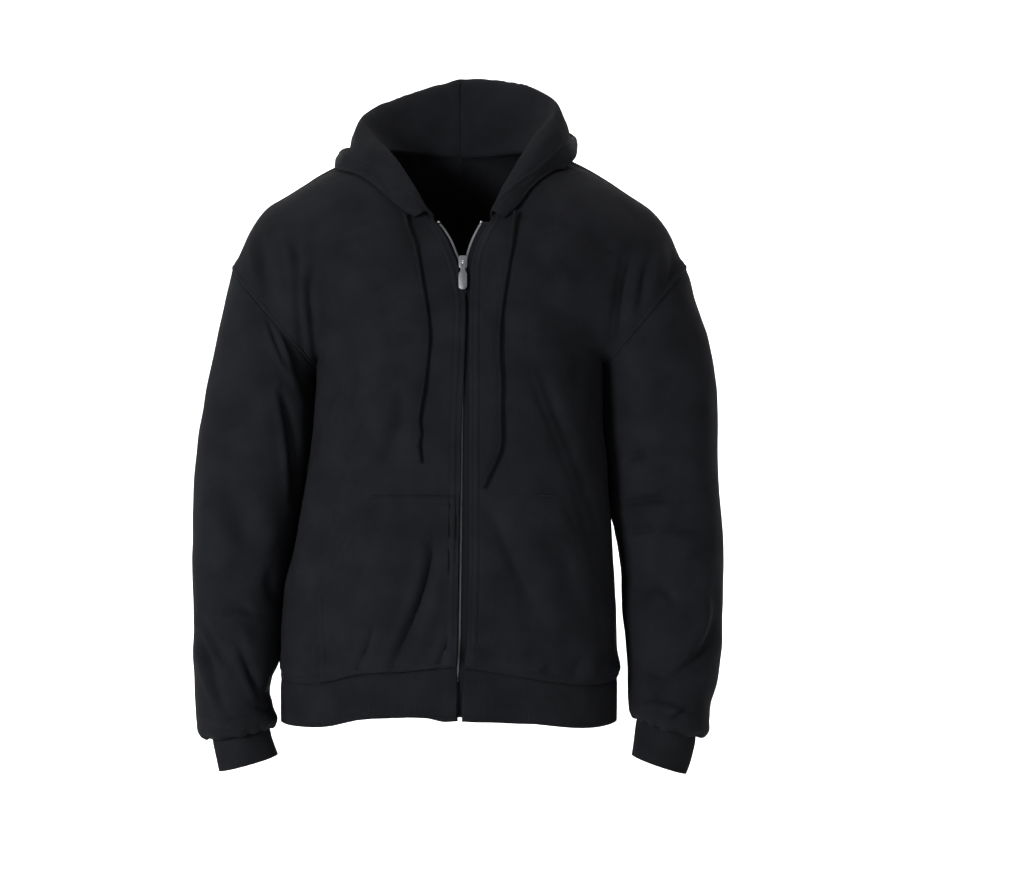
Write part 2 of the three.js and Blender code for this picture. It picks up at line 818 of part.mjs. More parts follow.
// Push the points of a sheet out of the panels under it and smooth the cloth round them; its seams stay.
function restOn(sheet, panels, need) {
  const around = sheet.points.map(() => new Set());
  for (const face of sheet.faces) {
    face.forEach((i) => face.forEach((j) => i !== j && around[i].add(j)));
  }
  const passes = 5;
  for (let pass = 1; pass <= passes; pass += 1) {
    const moved = new Set();
    sheet.points.forEach((p, i) => {
      const pushes = sheet.leans.has(i) ? [] : panels.map((panel) => pushFrom(panel, p, need));
      pushes.filter((push) => push.lengthSq() > 0).forEach((push) => {
        p.add(push);
        around[i].forEach((j) => moved.add(j).add(i));
      });
    });
    if (pass < passes) {
      const soft = new Map([...moved].filter((i) => !sheet.leans.has(i)).map((i) => {
        const mean = vec(0, 0, 0);
        around[i].forEach((j) => mean.addScaledVector(sheet.points[j], 1 / around[i].size));
        return [i, mean];
      }));
      soft.forEach((mean, i) => sheet.points[i].lerp(mean, 0.4));
    }
  }
}

// The part of a sheet inside all limits (each positive inside); points near a limit count as on it.
function cutSheet(sheet, normals, limits) {
  let cut = { points: sheet.points.map((p) => p.clone()), leans: normals.map((n) => n.clone()), faces: sheet.faces };
  for (const limit of limits) {
    const depth = cut.points.map((p) => {
      const d = limit(p);
      return Math.abs(d) < 2.5 ? 0 : d;
    });
    const made = new Map();
    const points = [...cut.points];
    const leans = [...cut.leans];
    const crossing = (i, j) => {
      const key = i < j ? `${i},${j}` : `${j},${i}`;
      if (!made.has(key)) {
        const f = depth[i] / (depth[i] - depth[j]);
        made.set(key, points.length);
        points.push(cut.points[i].clone().lerp(cut.points[j], f));
        leans.push(cut.leans[i].clone().lerp(cut.leans[j], f));
      }
      return made.get(key);
    };
    const faces = [];
    for (const face of cut.faces) {
      if (Math.max(...face.map((i) => depth[i])) <= 0) {
        continue;
      }
      const kept = [];
      face.forEach((i, k) => {
        const j = face[(k + 1) % 3];
        if (depth[i] >= 0) {
          kept.push(i);
        }
        if (depth[i] * depth[j] < 0) {
          kept.push(crossing(i, j));
        }
      });
      for (let k = 1; k + 1 < kept.length; k += 1) {
        faces.push([kept[0], kept[k], kept[k + 1]]);
      }
    }
    cut = { points, leans, faces };
  }
  const used = [...new Set(cut.faces.flat())];
  const place = new Map(used.map((i, k) => [i, k]));
  return {
    points: used.map((i) => cut.points[i]),
    leans: new Map(used.map((i, k) => [k, cut.leans[i]])),
    faces: cut.faces.map((face) => face.map((i) => place.get(i))),
  };
}

// Positive on the middle side of the line through two corners of the front view.
function insideLine(side, xa, za, xb, zb) {
  const long = Math.hypot(xb - xa, zb - za);
  return (p) => ((zb - za) * (side * p.x - xa) - (xb - xa) * (p.z - za)) / -long;
}

function pocketSheet(side, panel) {
  const [foot, turn, top] = pocketCorners.map(([z, left, right]) => [side > 0 ? left : right, z]);
  return cutSheet(panel, sheetNormals(panel), [
    (p) => top[1] - p.z,
    (p) => side * (p.x - zipEdgeX(side, p.z)) - 1.5,
    (p) => p.z - hemZ(side, p.x) - 2,
    insideLine(side, ...foot, ...turn),
    insideLine(side, ...turn, ...top),
  ]);
}

function tapeSheet(side) {
  const rows = [];
  for (let i = 0; i <= 24; i += 1) {
    const z = between(-664, -67, i / 24);
    const zip = zipAt(z);
    const y = centreY(z, -1) + chainBehind;
    const first = zip.middle + side * (zip.spread + chainWidth / 2 + seamGap);
    rows.push([0, 0.5, 1].map((f) => vec(first + side * tapeWidth * f, y + f * tapeWidth * 0.04, z)));
  }
  return sheetOf([{ rows, flip: side < 0 }]);
}

function chainSheet(side) {
  const rows = [];
  for (let i = 0; i <= 24; i += 1) {
    const z = between(-655, -69, i / 24);
    const zip = zipAt(z);
    const y = centreY(z, -1) + chainBehind;
    rows.push([-1, 1].map((f) => vec(zip.middle + side * (zip.spread + (f * chainWidth) / 2), y, z)));
  }
  return sheetOf([{ rows, flip: side < 0 }]);
}

function blockAt(wide, deep, tall, x, y, z) {
  const block = new THREE.BoxGeometry(wide, deep, tall);
  block.translate(x, y, z);
  return block;
}

const wasm = await Module();
wasm.setup();

function solidOf(geometry) {
  const plain = geometry.index ? geometry : geometry.clone();
  const mesh = new wasm.Mesh({
    numProp: 3,
    vertProperties: new Float32Array(plain.getAttribute('position').array),
    triVerts: new Uint32Array(plain.index.array),
  });
  mesh.merge();
  return new wasm.Manifold(mesh);
}

function geometryOf(solid) {
  const mesh = solid.getMesh();
  const geometry = new THREE.BufferGeometry();
  geometry.setAttribute('position', new THREE.BufferAttribute(new Float32Array(mesh.vertProperties), 3));
  geometry.setIndex(Array.from(mesh.triVerts));
  return geometry;
}

function platePoints(wide, tall, bevel) {
  const w = wide / 2;
  const h = tall / 2;
  const shape = new THREE.Shape();
  shape.moveTo(-w + bevel, -h);
  shape.lineTo(w - bevel, -h);
  shape.quadraticCurveTo(w, -h, w, -h + bevel);
  shape.lineTo(w, h - bevel);
  shape.quadraticCurveTo(w, h, w - bevel, h);
  shape.lineTo(-w + bevel, h);
  shape.quadraticCurveTo(-w, h, -w, h - bevel);
  shape.lineTo(-w, -h + bevel);
  shape.quadraticCurveTo(-w, -h, -w + bevel, -h);
  return shape;
}

function plateGeometry(shape, deep) {
  const plate = new THREE.ExtrudeGeometry(shape, { depth: deep, bevelEnabled: false, curveSegments: 4 });
  plate.rotateX(Math.PI / 2);
  plate.translate(0, deep / 2, 0);
  return plate;
}

// Slider about its own middle: two plates, the wedge between the rows and the bridge for the tab.
function sliderSolid() {
  const half = chainDepth / 2 + 0.6 + plateDepth / 2;
  const plate = plateGeometry(platePoints(sliderWidth, sliderLength, 3), plateDepth);
  const front = solidOf(indexed(plate.clone().translate(0, -half, 0)));
  const rear = solidOf(indexed(plate.clone().translate(0, half, 0)));
  const wedge = solidOf(indexed(blockAt(1.8, 2 * half, 3, 0, 0, sliderLength / 2 - 1.6)));
  const ring = new THREE.Shape();
  ring.absarc(0, 0, bridgeOutside, 0, 2 * Math.PI, false);
  const inside = new THREE.Path();
  inside.absarc(0, 0, bridgeInside, 0, 2 * Math.PI, true);
  ring.holes.push(inside);
  const bridge = new THREE.ExtrudeGeometry(ring, { depth: bridgeWidth, bevelEnabled: false, curveSegments: 8 });
  bridge.rotateY(Math.PI / 2);
  bridge.translate(-bridgeWidth / 2, -pinForward, -pinBelow);
  return front.add(rear).add(wedge).add(solidOf(indexed(bridge)));
}

// The same triangles with shared corners.
function indexed(geometry) {
  const flat = geometry.index ? geometry.toNonIndexed() : geometry;
  const source = flat.getAttribute('position');
  const places = new Map();
  const points = [];
  const index = [];
  for (let i = 0; i < source.count; i += 1) {
    const p = [source.getX(i), source.getY(i), source.getZ(i)];
    const key = p.map((v) => (Math.round(v * 1000) / 1000 + 0).toFixed(3)).join();
    if (!places.has(key)) {
      places.set(key, points.length / 3);
      points.push(...p);
    }
    index.push(places.get(key));
  }
  const kept = [];
  for (let i = 0; i < index.length; i += 3) {
    const [a, b, c] = index.slice(i, i + 3);
    if (a !== b && b !== c && c !== a) {
      kept.push(a, b, c);
    }
  }
  const out = new THREE.BufferGeometry();
  out.setAttribute('position', new THREE.BufferAttribute(new Float32Array(points), 3));
  out.setIndex(kept);
  return out;
}

// Pull tab about its bar: a window for the bridge, then a leaf that widens to a round end.
function tabGeometry() {
  const w = tabWidth / 2;
  const neck = bridgeWidth / 2 + 1.9;
  const shape = new THREE.Shape();
  shape.moveTo(-neck, tabBar / 2);
  shape.lineTo(neck, tabBar / 2);
  shape.lineTo(neck, -10);
  shape.bezierCurveTo(neck, -12.5, w, -13, w, -16.5);
  shape.lineTo(w, -tabLength + w);
  shape.absarc(0, -tabLength + w, w, 0, -Math.PI, true);
  shape.lineTo(-w, -16.5);
  shape.bezierCurveTo(-w, -13, -neck, -12.5, -neck, -10);
  shape.lineTo(-neck, tabBar / 2);
  const opening = bridgeWidth / 2 + 0.5;
  const inside = new THREE.Path();
  inside.moveTo(-opening, -tabBar / 2);
  inside.lineTo(-opening, -4.4);
  inside.lineTo(opening, -4.4);
  inside.lineTo(opening, -tabBar / 2);
  inside.lineTo(-opening, -tabBar / 2);
  shape.holes.push(inside);
  const body = new THREE.ExtrudeGeometry(shape, { depth: tabDepth, bevelEnabled: false, curveSegments: 6 });
  body.rotateX(Math.PI / 2);
  body.translate(0, tabDepth / 2, 0);
  return indexed(body);
}

function cordGeometry(route, sides = cordSides) {
  const curve = new THREE.CatmullRomCurve3(route.map(([x, y, z]) => vec(x, y, z)), false, 'centripetal');
  const shape = new THREE.Shape();
  shape.absarc(0, 0, cordDiameter / 2, 0, 2 * Math.PI, false);
  const steps = Math.round(curve.getLength() / (2.4 * cordDiameter));
  const options = { steps, curveSegments: sides / 2, bevelEnabled: false, extrudePath: curve };
  return indexed(new THREE.ExtrudeGeometry(shape, options));
}

function stopGeometry(side) {
  const zip = zipAt(-67);
  const block = new THREE.BoxGeometry(2.6, 3, 2);
  block.translate(zip.middle + side * (zip.spread - 0.9), centreY(-67, -1) + chainBehind, -67);
  return indexed(block);
}

const hoodie = new THREE.Group();
hoodie.name = 'hoodie';

const [frontLeft, frontRight, back] = makeBodyPanels();
hoodie.add(makeNode('front_left', wallGeometry(frontLeft, fleeceWall), clothColour, 0.92));
hoodie.add(makeNode('front_right', wallGeometry(frontRight, fleeceWall), clothColour, 0.92));
hoodie.add(makeNode('back', wallGeometry(back, fleeceWall), clothColour, 0.92));
hoodie.add(makeNode('hem_band', wallGeometry(makeHemBand(), ribWall), ribColour, 0.95));

for (const [side, word] of [[1, 'left'], [-1, 'right']]) {
  const panel = side > 0 ? frontLeft : frontRight;
  hoodie.add(makeNode(`sleeve_${word}`, wallGeometry(sleeveSheet(side), fleeceWall), clothColour, 0.92));
  hoodie.add(makeNode(`cuff_${word}`, wallGeometry(cuffSheet(side), ribWall), ribColour, 0.95));
  hoodie.add(makeNode(`hood_${word}`, wallGeometry(hoodSheet(side, [panel, back]), fleeceWall), clothColour, 0.92));
  const pocketWall = wallGeometry(pocketSheet(side, panel), fleeceWall, fleeceWall + seamGap);
  hoodie.add(makeNode(`pocket_${word}`, pocketWall, clothColour, 0.92));
  hoodie.add(makeNode(`zip_tape_${word}`, wallGeometry(tapeSheet(side), tapeWall), tapeColour, 0.8));
  hoodie.add(makeNode(`zip_teeth_${word}`, wallGeometry(chainSheet(side), chainDepth), metalColour, 0.35, 0.9));
  hoodie.add(makeNode(`zip_stop_${word}`, stopGeometry(side), metalColour, 0.35, 0.9));
  const route = side > 0 ? cordRouteLeft : cordRouteRight;
  hoodie.add(makeNode(`drawstring_${word}`, cordGeometry(route), cordColour, 0.85));
}

const slider = makeNode('slider', geometryOf(sliderSolid()), metalColour, 0.32, 0.95);
slider.position.set(zipAt(sliderZ).middle, centreY(sliderZ, -1) + chainBehind, sliderZ);
slider.rotation.x = sliderTilt;
hoodie.add(slider);

const pin = vec(0, -pinForward, -pinBelow).applyEuler(slider.rotation).add(slider.position);
const pullTab = makeNode('pull_tab', geometryOf(solidOf(tabGeometry())), metalColour, 0.3, 0.95);
pullTab.position.copy(pin);
pullTab.rotation.x = tabTilt;
hoodie.add(pullTab);

const boxZ = -661;
const bottomBox = blockAt(6, 3.4, 8, zipAt(boxZ).middle, centreY(boxZ, -1) + chainBehind, boxZ);
hoodie.add(makeNode('zip_box', indexed(bottomBox), metalColour, 0.35, 0.9));

export default hoodie;
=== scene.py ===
import math

import bmesh
import bpy
import numpy as np
from mathutils import Matrix, Vector
from mathutils.bvhtree import BVHTree


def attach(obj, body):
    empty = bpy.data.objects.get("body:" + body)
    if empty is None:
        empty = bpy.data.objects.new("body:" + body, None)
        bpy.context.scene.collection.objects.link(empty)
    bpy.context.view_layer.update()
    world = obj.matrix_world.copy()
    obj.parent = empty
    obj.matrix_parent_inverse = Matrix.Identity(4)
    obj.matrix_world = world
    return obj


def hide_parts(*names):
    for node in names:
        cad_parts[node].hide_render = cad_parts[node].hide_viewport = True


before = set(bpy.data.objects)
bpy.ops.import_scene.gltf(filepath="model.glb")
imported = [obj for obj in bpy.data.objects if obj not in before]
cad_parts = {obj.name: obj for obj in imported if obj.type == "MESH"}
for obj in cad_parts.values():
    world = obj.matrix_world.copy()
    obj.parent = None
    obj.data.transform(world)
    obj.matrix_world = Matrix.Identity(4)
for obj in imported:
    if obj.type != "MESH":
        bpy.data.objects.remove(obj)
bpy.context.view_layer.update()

# Zip-up hooded top in near-black fleece with rib cuffs and hem, a metal zip and cord ends.
# Tables are in millimetres in the model's own frame: x to the wearer's left, -y front, z up.

mm = 0.001

view = {"x": 66, "z": -326, "distance": 3020, "lens": 85, "sensor": 36}


def makeCamera():
    camera = bpy.data.objects.new("camera", bpy.data.cameras.new("camera"))
    bpy.context.scene.collection.objects.link(camera)
    camera.data.lens = view["lens"]
    camera.data.sensor_width = view["sensor"]
    camera.data.clip_end = 50
    camera.location = (view["x"] * mm, -view["distance"] * mm, view["z"] * mm)
    camera.rotation_euler = (math.pi / 2, 0, 0)
    bpy.context.scene.camera = camera
    bpy.context.scene.view_settings.view_transform = "Standard"


studio = {
    "floorHeight": -0.95,
    "floorHalf": 9.0,
    "wallBehind": 4.0,
    "cornerRadius": 1.6,
    "worldStrength": 0.17,
    "lamps": {  # place and target in metres, width and height, watts
        "key": ((-2.1, -2.7, 0.25), (0, 0, -0.4), (0.8, 0.8), 128),
        "fill": ((2.4, -2.2, 0.1), (0.1, 0, -0.4), (1.2, 1.6), 14),
        "floorWash": ((0, 1.1, 3.4), (0, 3.4, -0.9), (6, 2), 200),
        "wallWash": ((0, 0.9, 0.6), (0, 4.0, 0.4), (6, 2), 130),
    },
}


def hexColour(code):  # sRGB hex to linear
    parts = [int(code[i:i + 2], 16) / 255 for i in (1, 3, 5)]
    return [c / 12.92 if c <= 0.04045 else ((c + 0.055) / 1.055) ** 2.4 for c in parts] + [1.0]


def addLamp(name, place, target, size, power):
    lamp = bpy.data.lights.new(name, "AREA")
    lamp.shape = "RECTANGLE"
    lamp.size, lamp.size_y = size
    lamp.energy = power
    lampObject = bpy.data.objects.new(name, lamp)
    lampObject.location = place
    lampObject.rotation_euler = (Vector(target) - Vector(place)).to_track_quat("-Z", "Y").to_euler()
    bpy.context.scene.collection.objects.link(lampObject)


def makeStudio():
    world = bpy.data.worlds.new("studio")
    world.use_nodes = True
    background = world.node_tree.nodes["Background"]
    background.inputs[0].default_value = hexColour("#ffffff")
    background.inputs[1].default_value = studio["worldStrength"]
    bpy.context.scene.world = world
    for name, lamp in studio["lamps"].items():
        addLamp(name, *lamp)
    half, wall, radius = studio["floorHalf"], studio["wallBehind"], studio["cornerRadius"]
    sweep = bmesh.new()
    low = studio["floorHeight"]
    profile = [(-half, low)]
    for i in range(13):
        turn = i / 12 * math.pi / 2
        profile.append((wall - radius + radius * math.sin(turn), low + radius * (1 - math.cos(turn))))
    profile.append((wall, low + 7))
    verts = [sweep.verts.new((-half, y, z)) for y, z in profile]
    edges = [sweep.edges.new(pair) for pair in zip(verts, verts[1:])]
    moved = bmesh.ops.extrude_edge_only(sweep, edges=edges)["geom"]
    far = [v for v in moved if isinstance(v, bmesh.types.BMVert)]
    bmesh.ops.translate(sweep, verts=far, vec=(2 * half, 0, 0))
    bmesh.ops.recalc_face_normals(sweep, faces=sweep.faces)
    backdrop = finishMesh("backdrop", sweep, paleFloor())


def addNode(tree, kind, settings=None, links=None):
    node = tree.nodes.new(kind)
    for key, value in (settings or {}).items():
        if isinstance(key, int) or key in node.inputs:
            node.inputs[key].default_value = value
        else:
            setattr(node, key, value)
    for socket, source in (links or {}).items():
        tree.links.new(source, node.inputs[socket])
    return node


def newMaterial(name, settings):
    material = bpy.data.materials.new(name)
    material.use_nodes = True
    shader = material.node_tree.nodes["Principled BSDF"]
    for key, value in settings.items():
        shader.inputs[key].default_value = value
    return material, material.node_tree, shader


def spotNoise(tree, scale, detail, roughness=0.5):  # noise fixed to the object's own metres
    place = addNode(tree, "ShaderNodeTexCoord")
    return addNode(tree, "ShaderNodeTexNoise", {"Scale": scale, "Detail": detail, "Roughness": roughness},
                   {"Vector": place.outputs["Object"]})


def tintBetween(tree, shader, source, dark, light):
    ends = {"data_type": "RGBA", 6: hexColour(dark), 7: hexColour(light)}
    tint = addNode(tree, "ShaderNodeMix", ends, {0: source})
    tree.links.new(tint.outputs[2], shader.inputs["Base Color"])


def addBump(tree, shader, source, strength, depth):  # depth in millimetres
    bump = addNode(tree, "ShaderNodeBump", {"Strength": strength, "Distance": depth * mm}, {"Height": source})
    tree.links.new(bump.outputs[0], shader.inputs["Normal"])


def paleFloor():  # matt painted studio sweep
    material, tree, shader = newMaterial("paintedStudioSweep", {"Roughness": 0.9})
    grain = spotNoise(tree, 30.0, 4.0)
    tintBetween(tree, shader, grain.outputs["Fac"], "#f7f7f7", "#ffffff")
    return material


def knitMaterial(name, look):
    # Matt knit on the piece's own UV map in metres: V columns, courses across and soft lint.
    # The stitches are nearly twice as coarse as real ones, so that the render can hold them.
    settings = {"Roughness": look["roughness"], "Specular IOR Level": look["specular"]}
    material, tree, shader = newMaterial(name, settings)
    uv = addNode(tree, "ShaderNodeUVMap", {"uv_map": "cloth"})
    split = addNode(tree, "ShaderNodeSeparateXYZ", None, {0: uv.outputs[0]})
    across = addNode(tree, "ShaderNodeMath", {"operation": "MULTIPLY", 1: math.tau / (look["wale"] * mm)},
                     {0: split.outputs[0]})
    along = addNode(tree, "ShaderNodeMath", {"operation": "MULTIPLY", 1: math.tau / (look["course"] * mm)},
                    {0: split.outputs[1]})
    columns = addNode(tree, "ShaderNodeMath", {"operation": "SINE"}, {0: across.outputs[0]})
    slant = addNode(tree, "ShaderNodeMath", {"operation": "MULTIPLY_ADD", 1: look["slant"]},
                    {0: columns.outputs[0], 2: along.outputs[0]})
    courses = addNode(tree, "ShaderNodeMath", {"operation": "SINE"}, {0: slant.outputs[0]})
    knit = addNode(tree, "ShaderNodeMath", {"operation": "MULTIPLY_ADD", 1: look["courseShare"]},
                   {0: courses.outputs[0], 2: columns.outputs[0]})
    lint = spotNoise(tree, look["lintScale"], 5.0, 0.65)
    mottle = spotNoise(tree, look["mottleScale"], 3.0)
    shade = addNode(tree, "ShaderNodeMath", {"operation": "MULTIPLY_ADD", 1: 0.55},
                    {0: lint.outputs["Fac"], 2: mottle.outputs["Fac"]})
    ramp = addNode(tree, "ShaderNodeMapRange", {"From Min": 0.55, "From Max": 1.05},
                   {"Value": shade.outputs[0]})
    tintBetween(tree, shader, ramp.outputs[0], look["dark"], look["light"])
    relief = addNode(tree, "ShaderNodeMath", {"operation": "MULTIPLY_ADD", 1: look["lintRelief"]},
                     {0: lint.outputs["Fac"], 2: knit.outputs[0]})
    addBump(tree, shader, relief.outputs[0], look["bump"], look["depth"])
    return material


fleeceLook = {  # wale, course and depth in millimetres
    "dark": "#0e0f12", "light": "#16171b", "roughness": 0.95, "specular": 0.1,
    "wale": 1.5, "course": 1.3, "slant": 1.2, "courseShare": 0.5,
    "lintScale": 900.0, "mottleScale": 26.0, "lintRelief": 1.6, "bump": 0.35, "depth": 0.22,
}
ribLook = dict(fleeceLook, dark="#0d0e11", light="#151619", wale=0.9, course=1.1, bump=0.3)
# The cord is darker than the fleece: partly its own darker tone, partly painted shade for the shadows along
# the thin cords.
cordLook = dict(fleeceLook, dark="#0a0b0d", light="#131417", wale=2.2, course=3.0, bump=0.6, depth=0.3)


def tapeMaterial():  # woven polyester tape: a tight matt herringbone, a shade darker than the fleece
    settings = {"Roughness": 0.9, "Specular IOR Level": 0.1}
    material, tree, shader = newMaterial("wovenPolyesterTape", settings)
    place = addNode(tree, "ShaderNodeTexCoord")
    weave = {"Scale": 260.0, "Distortion": 0.4, "bands_direction": "DIAGONAL"}
    wave = addNode(tree, "ShaderNodeTexWave", weave, {"Vector": place.outputs["Object"]})
    tintBetween(tree, shader, wave.outputs["Fac"], "#0c0d10", "#141519")
    addBump(tree, shader, wave.outputs["Fac"], 0.4, 0.15)
    return material


def zipMetal():  # cast zinc alloy, tumbled and plated: satin with fine wear
    material, tree, shader = newMaterial("platedZincAlloy", {"Metallic": 1.0})
    wear = spotNoise(tree, 700.0, 4.0)
    tintBetween(tree, shader, wear.outputs["Fac"], "#9a9ca1", "#c9cbd0")
    rough = addNode(tree, "ShaderNodeMapRange", {"To Min": 0.24, "To Max": 0.46},
                    {"Value": wear.outputs["Fac"]})
    tree.links.new(rough.outputs[0], shader.inputs["Roughness"])
    addBump(tree, shader, wear.outputs["Fac"], 0.15, 0.05)
    return material


def threadMaterial():  # spun polyester thread, slightly brighter than the cloth
    settings = {"Roughness": 0.75, "Specular IOR Level": 0.15}
    material, tree, shader = newMaterial("spunPolyesterThread", settings)
    twist = spotNoise(tree, 1500.0, 2.0)
    tintBetween(tree, shader, twist.outputs["Fac"], "#101114", "#1a1b1f")
    return material


def finishMesh(name, bm, material, smooth=True):
    mesh = bpy.data.meshes.new(name)
    bm.to_mesh(mesh)
    bm.free()
    mesh.polygons.foreach_set("use_smooth", [smooth] * len(mesh.polygons))
    mesh.materials.append(material)
    piece = bpy.data.objects.new(name, mesh)
    bpy.context.scene.collection.objects.link(piece)
    return piece


def gridNormals(points, ring=False):
    if ring:
        wide = np.concatenate([points[:, -1:], points, points[:, :1]], axis=1)
        du = wide[:, 2:] - wide[:, :-2]
    else:
        du = np.gradient(points, axis=1)
    normals = np.cross(du, np.gradient(points, axis=0))
    return normals / np.maximum(np.linalg.norm(normals, axis=2, keepdims=True), 1e-9)


def lineRun(line):  # distance along a line at each of its points
    return np.concatenate([[0], np.cumsum(np.linalg.norm(np.diff(line, axis=0), axis=1))])


def pointsAt(line, run, want):
    return np.stack([np.interp(want, run, line[:, i]) for i in range(line.shape[1])], axis=-1)


def runAlong(points, axis):  # the same for each row or column of a grid
    steps = np.linalg.norm(np.diff(points, axis=axis), axis=2)
    first = np.zeros_like(steps[:1] if axis == 0 else steps[:, :1])
    return np.concatenate([first, np.cumsum(steps, axis=axis)], axis=axis)


def addCloth(bm, points, ring=False, flip=False, hand=1):
    # a flat grid laid out in metres on its UV map, then moved to its worn place
    closed = np.concatenate([points, points[:, :1]], axis=1) if ring else points
    high, wide = closed.shape[:2]
    u, v = hand * runAlong(closed, 1) * mm, runAlong(closed, 0) * mm
    made = bmesh.ops.create_grid(bm, x_segments=wide - 1, y_segments=high - 1, size=1)["verts"]
    layer = bm.loops.layers.uv.get("cloth") or bm.loops.layers.uv.new("cloth")
    for vert, spot, across, up in zip(made, closed.reshape(-1, 3), u.flat, v.flat):
        vert.co = spot * mm
        for loop in vert.link_loops:
            loop[layer].uv = (across, up)
    if flip:
        bmesh.ops.reverse_faces(bm, faces=list({polygon for vert in made for polygon in vert.link_faces}))


def clothMesh(grids, ring=False):
    bm = bmesh.new()
    for points, flip, hand in grids:
        addCloth(bm, points, ring, flip, hand)
    if ring or len(grids) > 1:
        bmesh.ops.remove_doubles(bm, verts=bm.verts, dist=1e-6)
    return bm


def clothPiece(name, grids, wall, material, ring=False):
    piece = finishMesh(name, clothMesh(grids, ring), material)
    solidify = piece.modifiers.new("wall", "SOLIDIFY")
    solidify.thickness = wall * mm
    solidify.offset = 0
    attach(piece, "garment")
    return piece


# The shape of the cut, with the same tables as the solids.
underarmZ = -245
lowRows, armRows, zipRows = 14, 10, 5
seamGap = 0.3
chain = {"wide": 2.9, "deep": 2.6, "behind": 3.4}

centreProfile = np.array([  # height, front, back
    [-664, -126, 118], [-603, -131, 127], [-540, -135, 126], [-450, -138, 123], [-360, -138, 123],
    [-280, -137, 127], [-200, -132, 128], [-143, -121, 124], [-105, -110, 118], [-60, -88, 106],
    [-20, -74, 92], [30, -60, 74]], float)
sideSeams = np.array([  # height, left, right
    [-627, 196, 220], [-580, 196, 221], [-545, 195, 219], [-512, 193, 215], [-478, 190.5, 206],
    [-440, 188.5, 197.5], [-400, 185.5, 191], [-360, 183, 185], [-320, 179, 180], [-245, 179, 176]], float)
zipLine = np.array([  # height, middle of the teeth, spread of a row, cloth edge left, cloth edge right
    [-664, -4, 1.65, 10, -0.6], [-608, -0.6, 1.65, 10, -0.6], [-571, 1.6, 1.65, 11, -0.6],
    [-474, 3, 1.65, 12, -0.6], [-378, 4.2, 1.65, 11, -0.6], [-300, 5, 1.65, 10.4, -1],
    [-240, 5.8, 1.65, 9.6, -3.2], [-165, 7.4, 1.65, 8, -3], [-140, 8.2, 1.65, 8, 2.2],
    [-128, 8, 1.8, 8.6, 5], [-118, 7, 3.8, 11, 7.4], [-105, 5.6, 7.6, 15.5, 11.6],
    [-91, 5, 12.7, 21.5, 16.8], [-77, 4, 20, 29, 24], [-65, 2.8, 27.4, 37.5, 31.4]], float)
hemSeam = np.array([  # across from the middle, height left, height right
    [0, -603, -603], [60, -612, -609], [116, -622, -613], [160, -628, -624], [200, -627, -627]], float)
hemDrops = np.array([  # across, height of the rib hem in front
    [-210, 52.5], [-150, 53.4], [-60, 54.6], [-35, 58], [-15, 64], [15, 64], [45, 60], [65, 57.5], [95, 53.6],
    [170, 51.5], [210, 51.5]], float)
sleeveTables = {  # outer edge x z, inner edge x z, half depth, middle of the depth
    1: np.array([
        [283, -120, 180, -245, 77, 0], [294, -156, 185, -258, 79, 0], [309, -206, 184, -285, 78, 1],
        [319, -256, 183, -320, 76, 2], [322, -306, 187, -358, 74, 3], [321, -356, 190, -398, 72, 3],
        [324, -406, 194, -432, 70, 2], [328, -456, 199, -466, 68, 0], [329, -506, 203, -505, 65, -4],
        [328, -550, 205, -545, 63, -9], [327, -590, 208, -585, 61, -14], [321, -631, 211, -622, 59, -20],
        [313, -658, 212, -645, 57, -25], [312, -680, 213, -660, 55, -29], [312, -694, 214, -671, 51, -31],
        [304, -703, 218, -677, 43, -33]], float),
    -1: np.array([
        [282, -121, 176, -245, 77, 0], [290, -156, 181, -259, 79, 0], [301, -206, 182, -285, 78, 1],
        [312, -256, 184, -320, 76, 2], [321, -306, 189, -360, 74, 3], [326, -356, 195, -400, 72, 3],
        [330, -406, 202, -440, 70, 2], [330, -456, 210, -478, 68, 0], [331, -506, 219.5, -512, 65, -5],
        [330, -545, 223.5, -545, 63, -10], [329.5, -581, 225.5, -580, 61, -15],
        [329, -631, 229, -618, 59, -22], [327.5, -660, 235, -645, 57, -27], [326.5, -681, 234, -664, 54, -30],
        [325, -695, 228, -680, 50, -32], [317, -703, 231, -689, 42, -33]], float)}
cuffTables = {
    1: np.array([
        [295, -700, 223, -677, 33, -34], [292, -715, 221, -695, 33, -35], [287, -734, 219, -712, 34, -36],
        [282, -747, 217, -725, 34, -37]], float),
    -1: np.array([
        [308, -697, 238, -690, 33, -34], [305, -712, 236, -702, 33, -35], [301, -730, 232, -714, 34, -36],
        [298, -744, 228, -725, 34, -37]], float)}
neckline = np.array([  # from the zip round to the middle of the back: x y z
    [34, -86, -60], [62, -66, -22], [81, -34, 8], [90, 4, 26],
    [82, 36, 32], [46, 66, 32], [0, 74, 30]], float)
hoodStations = np.array([  # crest, slope, lowest fold, roll, face edge: x y z each
    [41, -92, -46, 46, -97, -47, 49, -98, -49, 53, -97, -51, 57, -95, -54],
    [54, -82, -20, 62, -90, -23, 69, -92, -28, 75, -92, -32, 81, -90, -37],
    [71, -64, 8, 84, -70, 6, 96, -69, -2, 106, -65, -8, 116, -60, -15],
    [92, -36, 38, 106, -44, 37, 119, -40, 24, 134, -36, 22, 150, -31, 6],
    [118, 6, 70, 131, 4, 56, 137, 6, 34, 147, 8, 40, 160, 10, 20],
    [108, 50, 90, 124, 68, 60, 132, 88, 4, 147, 96, 28, 150, 96, 44],
    [74, 80, 106, 88, 106, 60, 92, 132, -84, 108, 154, -20, 108, 146, 44],
    [38, 94, 114, 45, 124, 60, 46, 152, -128, 56, 174, -40, 56, 160, 44],
    [0, 98, 118, 0, 129, 60, 0, 160, -140, 0, 180, -46, 0, 164, 42]], float)
